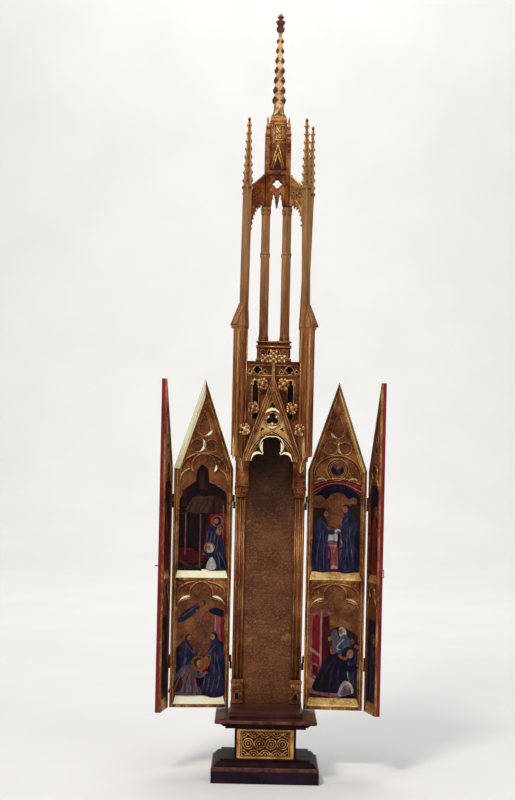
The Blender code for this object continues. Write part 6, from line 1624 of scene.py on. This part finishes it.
def dress_flyer(side, way):
    """Rolls along a flying buttress's top edge and round its piercings, and its leafy teeth."""
    corner = SPREAD + POST_RADIUS / 2
    start = Vector((side * corner, CENTRE_Y + way * corner, 0))
    top, drop = TURRET_TOP - 0.001, 0.095
    end_top, spring = top - drop * 0.26, TURRET_TOP - drop
    mid_share = ((end_top + spring) / 2 - COPING_TOP) / (PINNACLE_TIP - COPING_TOP)
    end = Vector((side * HALF_WIDTH + POST_LEAN[side, way] * mid_share, CENTRE_Y + way * HALF_DEPTH, 0))
    run = end - start
    length = run.length - 0.0012
    begin = start + run.normalized() * 0.0006
    place = Matrix.Translation((begin.x, begin.y, 0)) @ Matrix.Rotation(atan2(run.y, run.x), 4, "Z")
    word = f"{WAYS[way]}_{SIDES[side]}"

    def arc(turn, share, dx=0.0, dz=0.0):
        """A point under the flyer's arch: share of its reach and of its rise."""
        return length * 0.2 + length * 0.76 * share * cos(turn) + dx, spring + drop * 0.5 * share * sin(turn) + dz

    rolls = []
    for y in (-0.0023, 0.0023):
        for below, radius in ((0.0010, 0.0011), (0.0060, 0.0007)):
            rolls.append(bar((0, y, top - below), (length, y, end_top - below), radius))
        rolls.append(level_rod([arc(radians(90) * step / 12, 1.0, 0.0010, 0.0022) for step in range(13)], y, 0.0008, 5))
        rolls += [ring_rod(circle(length * share, spring + drop * (0.73 - 0.24 * share), 0.0030, 10), y, 0.0007)
                  for share in (0.3, 0.5, 0.7)]
    # Painted light: the right-hand flyers' rolls and teeth are brighter gold than the left-hand ones
    piece(f"flyer_rolls_{word}", rolls, light_gold if side > 0 else gold, matrix=place)
    teeth = []
    for step in range(7):
        turn = radians(90) * (step + 0.4) / 7
        x, z = arc(turn, 0.92)
        teeth.append(ball((x, 0, z), (0.0027, 0.0023, 0.0024)))
        teeth.append(ball((x - 0.0026 * cos(turn), 0, z - 0.0026 * sin(turn)), (0.0013, 0.0014, 0.0013), 6, 5))
    piece(f"flyer_teeth_{word}", teeth, roll_gold if side > 0 else gold, matrix=place)


def dress_lantern():
    low = TURRET_TOP + GAP
    core = 0.015
    face, gable_face = -core - 0.0002, -core - 0.0025
    gable_low, gable_high = 0.0075, 0.054
    foot, apex = low + gable_low, low + gable_high
    # The narrow lights: x, half width, foot, spring and top above the lantern's foot, and the roll's radius
    lights = [(x, 0.0013, 0.066, 0.084, 0.090, 0.0006) for x in (-0.0098, -0.0060, 0.0060, 0.0098)]
    lights += [(x, 0.0012, bottom, 0.054, 0.059, 0.0005)
               for x, bottom in ((-0.0122, 0.016), (-0.0078, 0.033), (0.0078, 0.033), (0.0122, 0.016))]

    def one_side():
        # Dark plates in the lights and in the gable's groove: painted shade
        grooves = [upright([[(-0.0084, foot), (0.0084, foot), (0, apex - 0.018)]], 0.0001 - gable_face, 0.0003)]
        rolls = [leaf(0, face - 0.0002, low + 0.0800, 0.0050, 0.0080, 0.0016),
                 leaf(0, face - 0.0002, low + 0.0690, 0.0058, 0.0050, 0.0016)]
        for x, half, bottom, spring, top, radius in lights:
            outline = shift(light_shape(half, low + bottom, low + spring, low + top), x)
            grooves.append(upright([outline], 0.0001 - face, 0.0004))
            rolls.append(ring_rod(outline, face - 0.0002, radius))
        bars = [level_rod([(-core, low + rise), (core, low + rise)], face, radius)
                for rise, radius in ((0.0635, 0.0013), (0.0925, 0.0011))]
        tips = []
        # The steep gable: bright rolls on a dark groove, with small knobs up its edges
        for way in (-1, 1):
            bars.append(level_rod([(way * 0.0138, foot), (0, apex)], gable_face, 0.0015))
            bars.append(level_rod([(way * 0.0094, foot), (0, apex - 0.016)], gable_face, 0.0010, 5))
            for z in (0.018, 0.030, 0.041):
                x = way * (0.0118 * (gable_high - z) / (gable_high - gable_low) + 0.0012)
                tips.append(ball((x, gable_face + 0.0014, low + z), (0.0014, 0.0014, 0.0018), 6, 5))
        tips.append(ball((0, gable_face + 0.0012, apex + 0.001), (0.0016, 0.0014, 0.0026), 6, 5))
        return [grooves, rolls, bars, tips]

    grooves, rolls, bars, tips = on_four_sides(one_side)
    pins = []
    for side in SIDES:
        for way in WAYS:
            x, y = side * SPREAD, CENTRE_Y + way * SPREAD
            pins += [cylinder(px, py, low + 0.008, low + 0.062, 0.0005)
                     for px, py, _ in corners(x, y, 0.0044 * sqrt(2) * 0.93)]
            for rise in (0.0642, 0.077, 0.0895):
                reach = 0.0036 * (1 - (rise - 0.06) / 0.052) * 1.1
                pins += [ball((px, py, low + rise), (0.0013, 0.0013, 0.0016), 6, 5)
                         for px, py, _ in corners(x, y, reach)]
    piece("lantern_grooves", grooves, shade_brown)
    piece("lantern_lights", rolls, roll_gold)
    piece("lantern_bars", bars, light_gold)
    piece("lantern_tips", tips, light_gold)
    piece("lantern_pins", pins, gold)


dress_turret()
dress_turret_head()
for post_side in SIDES:
    for post_way in WAYS:
        dress_flyer(post_side, post_way)
dress_lantern()


# ---- Spire
def dress_spire():
    buds = []
    for number in range(7):
        share = (number + 0.90) / 7.6
        z = SPIRE_LOW + (KNOBS_LOW - SPIRE_LOW) * share
        half = 0.00825 + (0.0023 - 0.00825) * share
        size = 0.0030 + 0.0012 * (1 - share)
        reach = half * sqrt(2) + 0.0014
        further = corners(0, CENTRE_Y, reach + size * 0.45)
        for (x, y, direction), (px, py, _) in zip(corners(0, CENTRE_Y, reach), further):
            buds.append(hook(x, y, z - size * 0.2, direction, size))
            buds.append(ball((px, py, z), (size * 0.62, size * 0.62, size * 0.66)))
    piece("spire_crockets", buds, red_gold)
    lines = [bar((*near[:2], SPIRE_LOW + 0.004), (*far[:2], KNOBS_LOW - 0.002), 0.0009)
             for near, far in zip(corners(0, CENTRE_Y, 0.0113), corners(0, CENTRE_Y, 0.0036))]
    for z, radius, size in ((LANTERN_TOP + 0.0016, 0.0130, 0.0011), (LANTERN_TOP + 0.0148, 0.0086, 0.0010)):
        ring = [(radius * cos(a), CENTRE_Y + radius * sin(a), z) for a in (2 * pi * k / 16 for k in range(16))]
        lines += [bar(start, end, size) for start, end in zip(ring, ring[1:] + ring[:1])]
    piece("spire_lines", lines, yellow_gold)
    crown = []
    for z, reach, size in ((KNOBS_LOW + 0.0215, 0.0052, 0.0030), (KNOBS_LOW + 0.0090, 0.0042, 0.0028)):
        crown += [ball((x, y, z), (size, size, size * 1.1)) for x, y in circle(0, CENTRE_Y, reach, 6)]
    crown.append(ball((0, CENTRE_Y, SPIRE_TOP - 0.0065), (0.0042, 0.0042, 0.0030), 10, 7))
    piece("spire_knobs", crown, gold)


dress_spire()


# ---- Floor, light and camera
def area_light(name, place, target, size, power, colour=(1, 1, 1)):
    lamp = bpy.data.lights.new(name, "AREA")
    lamp.shape = "DISK"
    lamp.size = size
    lamp.energy = power
    lamp.color = colour
    made = bpy.data.objects.new(name, lamp)
    bpy.context.scene.collection.objects.link(made)
    made.location = place
    made.rotation_euler = (Vector(target) - Vector(place)).to_track_quat("-Z", "Y").to_euler()


def build_stage():
    """A pale sweep: floor, a wide curve and a wall far enough back to walk round the piece."""
    wide = 8.0
    bend, radius = 3.9, 2.0
    profile = [(-8.0, 0.0), (bend, 0.0)]
    for step in range(1, 17):
        turn = radians(90 * step / 16)
        profile.append((bend + radius * sin(turn), radius - radius * cos(turn)))
    profile.append((bend + radius, 9.0))
    bm = bmesh.new()
    rows = [[bm.verts.new((x, y, z)) for x in (-wide, wide)] for y, z in profile]
    for low, high in zip(rows, rows[1:]):
        bm.faces.new((low[0], low[1], high[1], high[0])).smooth = True
    mesh = bpy.data.meshes.new("sweep")
    bm.to_mesh(mesh)
    bm.free()
    made, tree, shader = new_material("pale paper", 0.9)
    tone = ramp(tree, noise(tree, 3.0, 3.0, 0.5), (0.3, (0.745, 0.745, 0.74)), (0.7, (0.78, 0.78, 0.775)))
    tree.links.new(tone, shader.inputs["Base Color"])
    mesh.materials.append(made)
    sweep = bpy.data.objects.new("sweep", mesh)
    bpy.context.scene.collection.objects.link(sweep)
    world = bpy.data.worlds.new("soft light")
    world.use_nodes = True
    world.node_tree.nodes["Background"].inputs["Color"].default_value = (1.0, 0.99, 0.97, 1)
    world.node_tree.nodes["Background"].inputs["Strength"].default_value = 0.13
    bpy.context.scene.world = world
    bpy.context.scene.view_settings.view_transform = "Standard"
    area_light("key light", (-1.0, -2.4, 2.9), (0, 0, 0.6), 0.8, 74.0, (1.0, 0.95, 0.87))
    area_light("fill light", (2.2, -2.4, 1.4), (0, 0, 0.6), 1.2, 14.0, (1.0, 0.96, 0.92))
    area_light("backdrop light", (0.0, -0.2, 3.4), (0, 1.2, 1.0), 2.4, 48.0)
    area_light("wall light", (0.0, 3.0, 4.2), (0, 6.0, 1.3), 3.0, 104.0, (1.0, 0.99, 0.975))
    area_light("far floor light", (0.0, 2.4, 4.2), (0, 2.6, 0.0), 3.0, 58.0, (1.0, 0.99, 0.98))


def build_camera():
    lens = bpy.data.cameras.new("camera")
    lens.lens = LENS
    lens.clip_start = 0.1
    view = bpy.data.objects.new("camera", lens)
    bpy.context.scene.collection.objects.link(view)
    view.location = (CAMERA_X, -CAMERA_DISTANCE, CAMERA_HEIGHT)
    view.rotation_euler = (radians(90), radians(-ROLL_DEG), 0)
    bpy.context.scene.camera = view


build_stage()
build_camera()
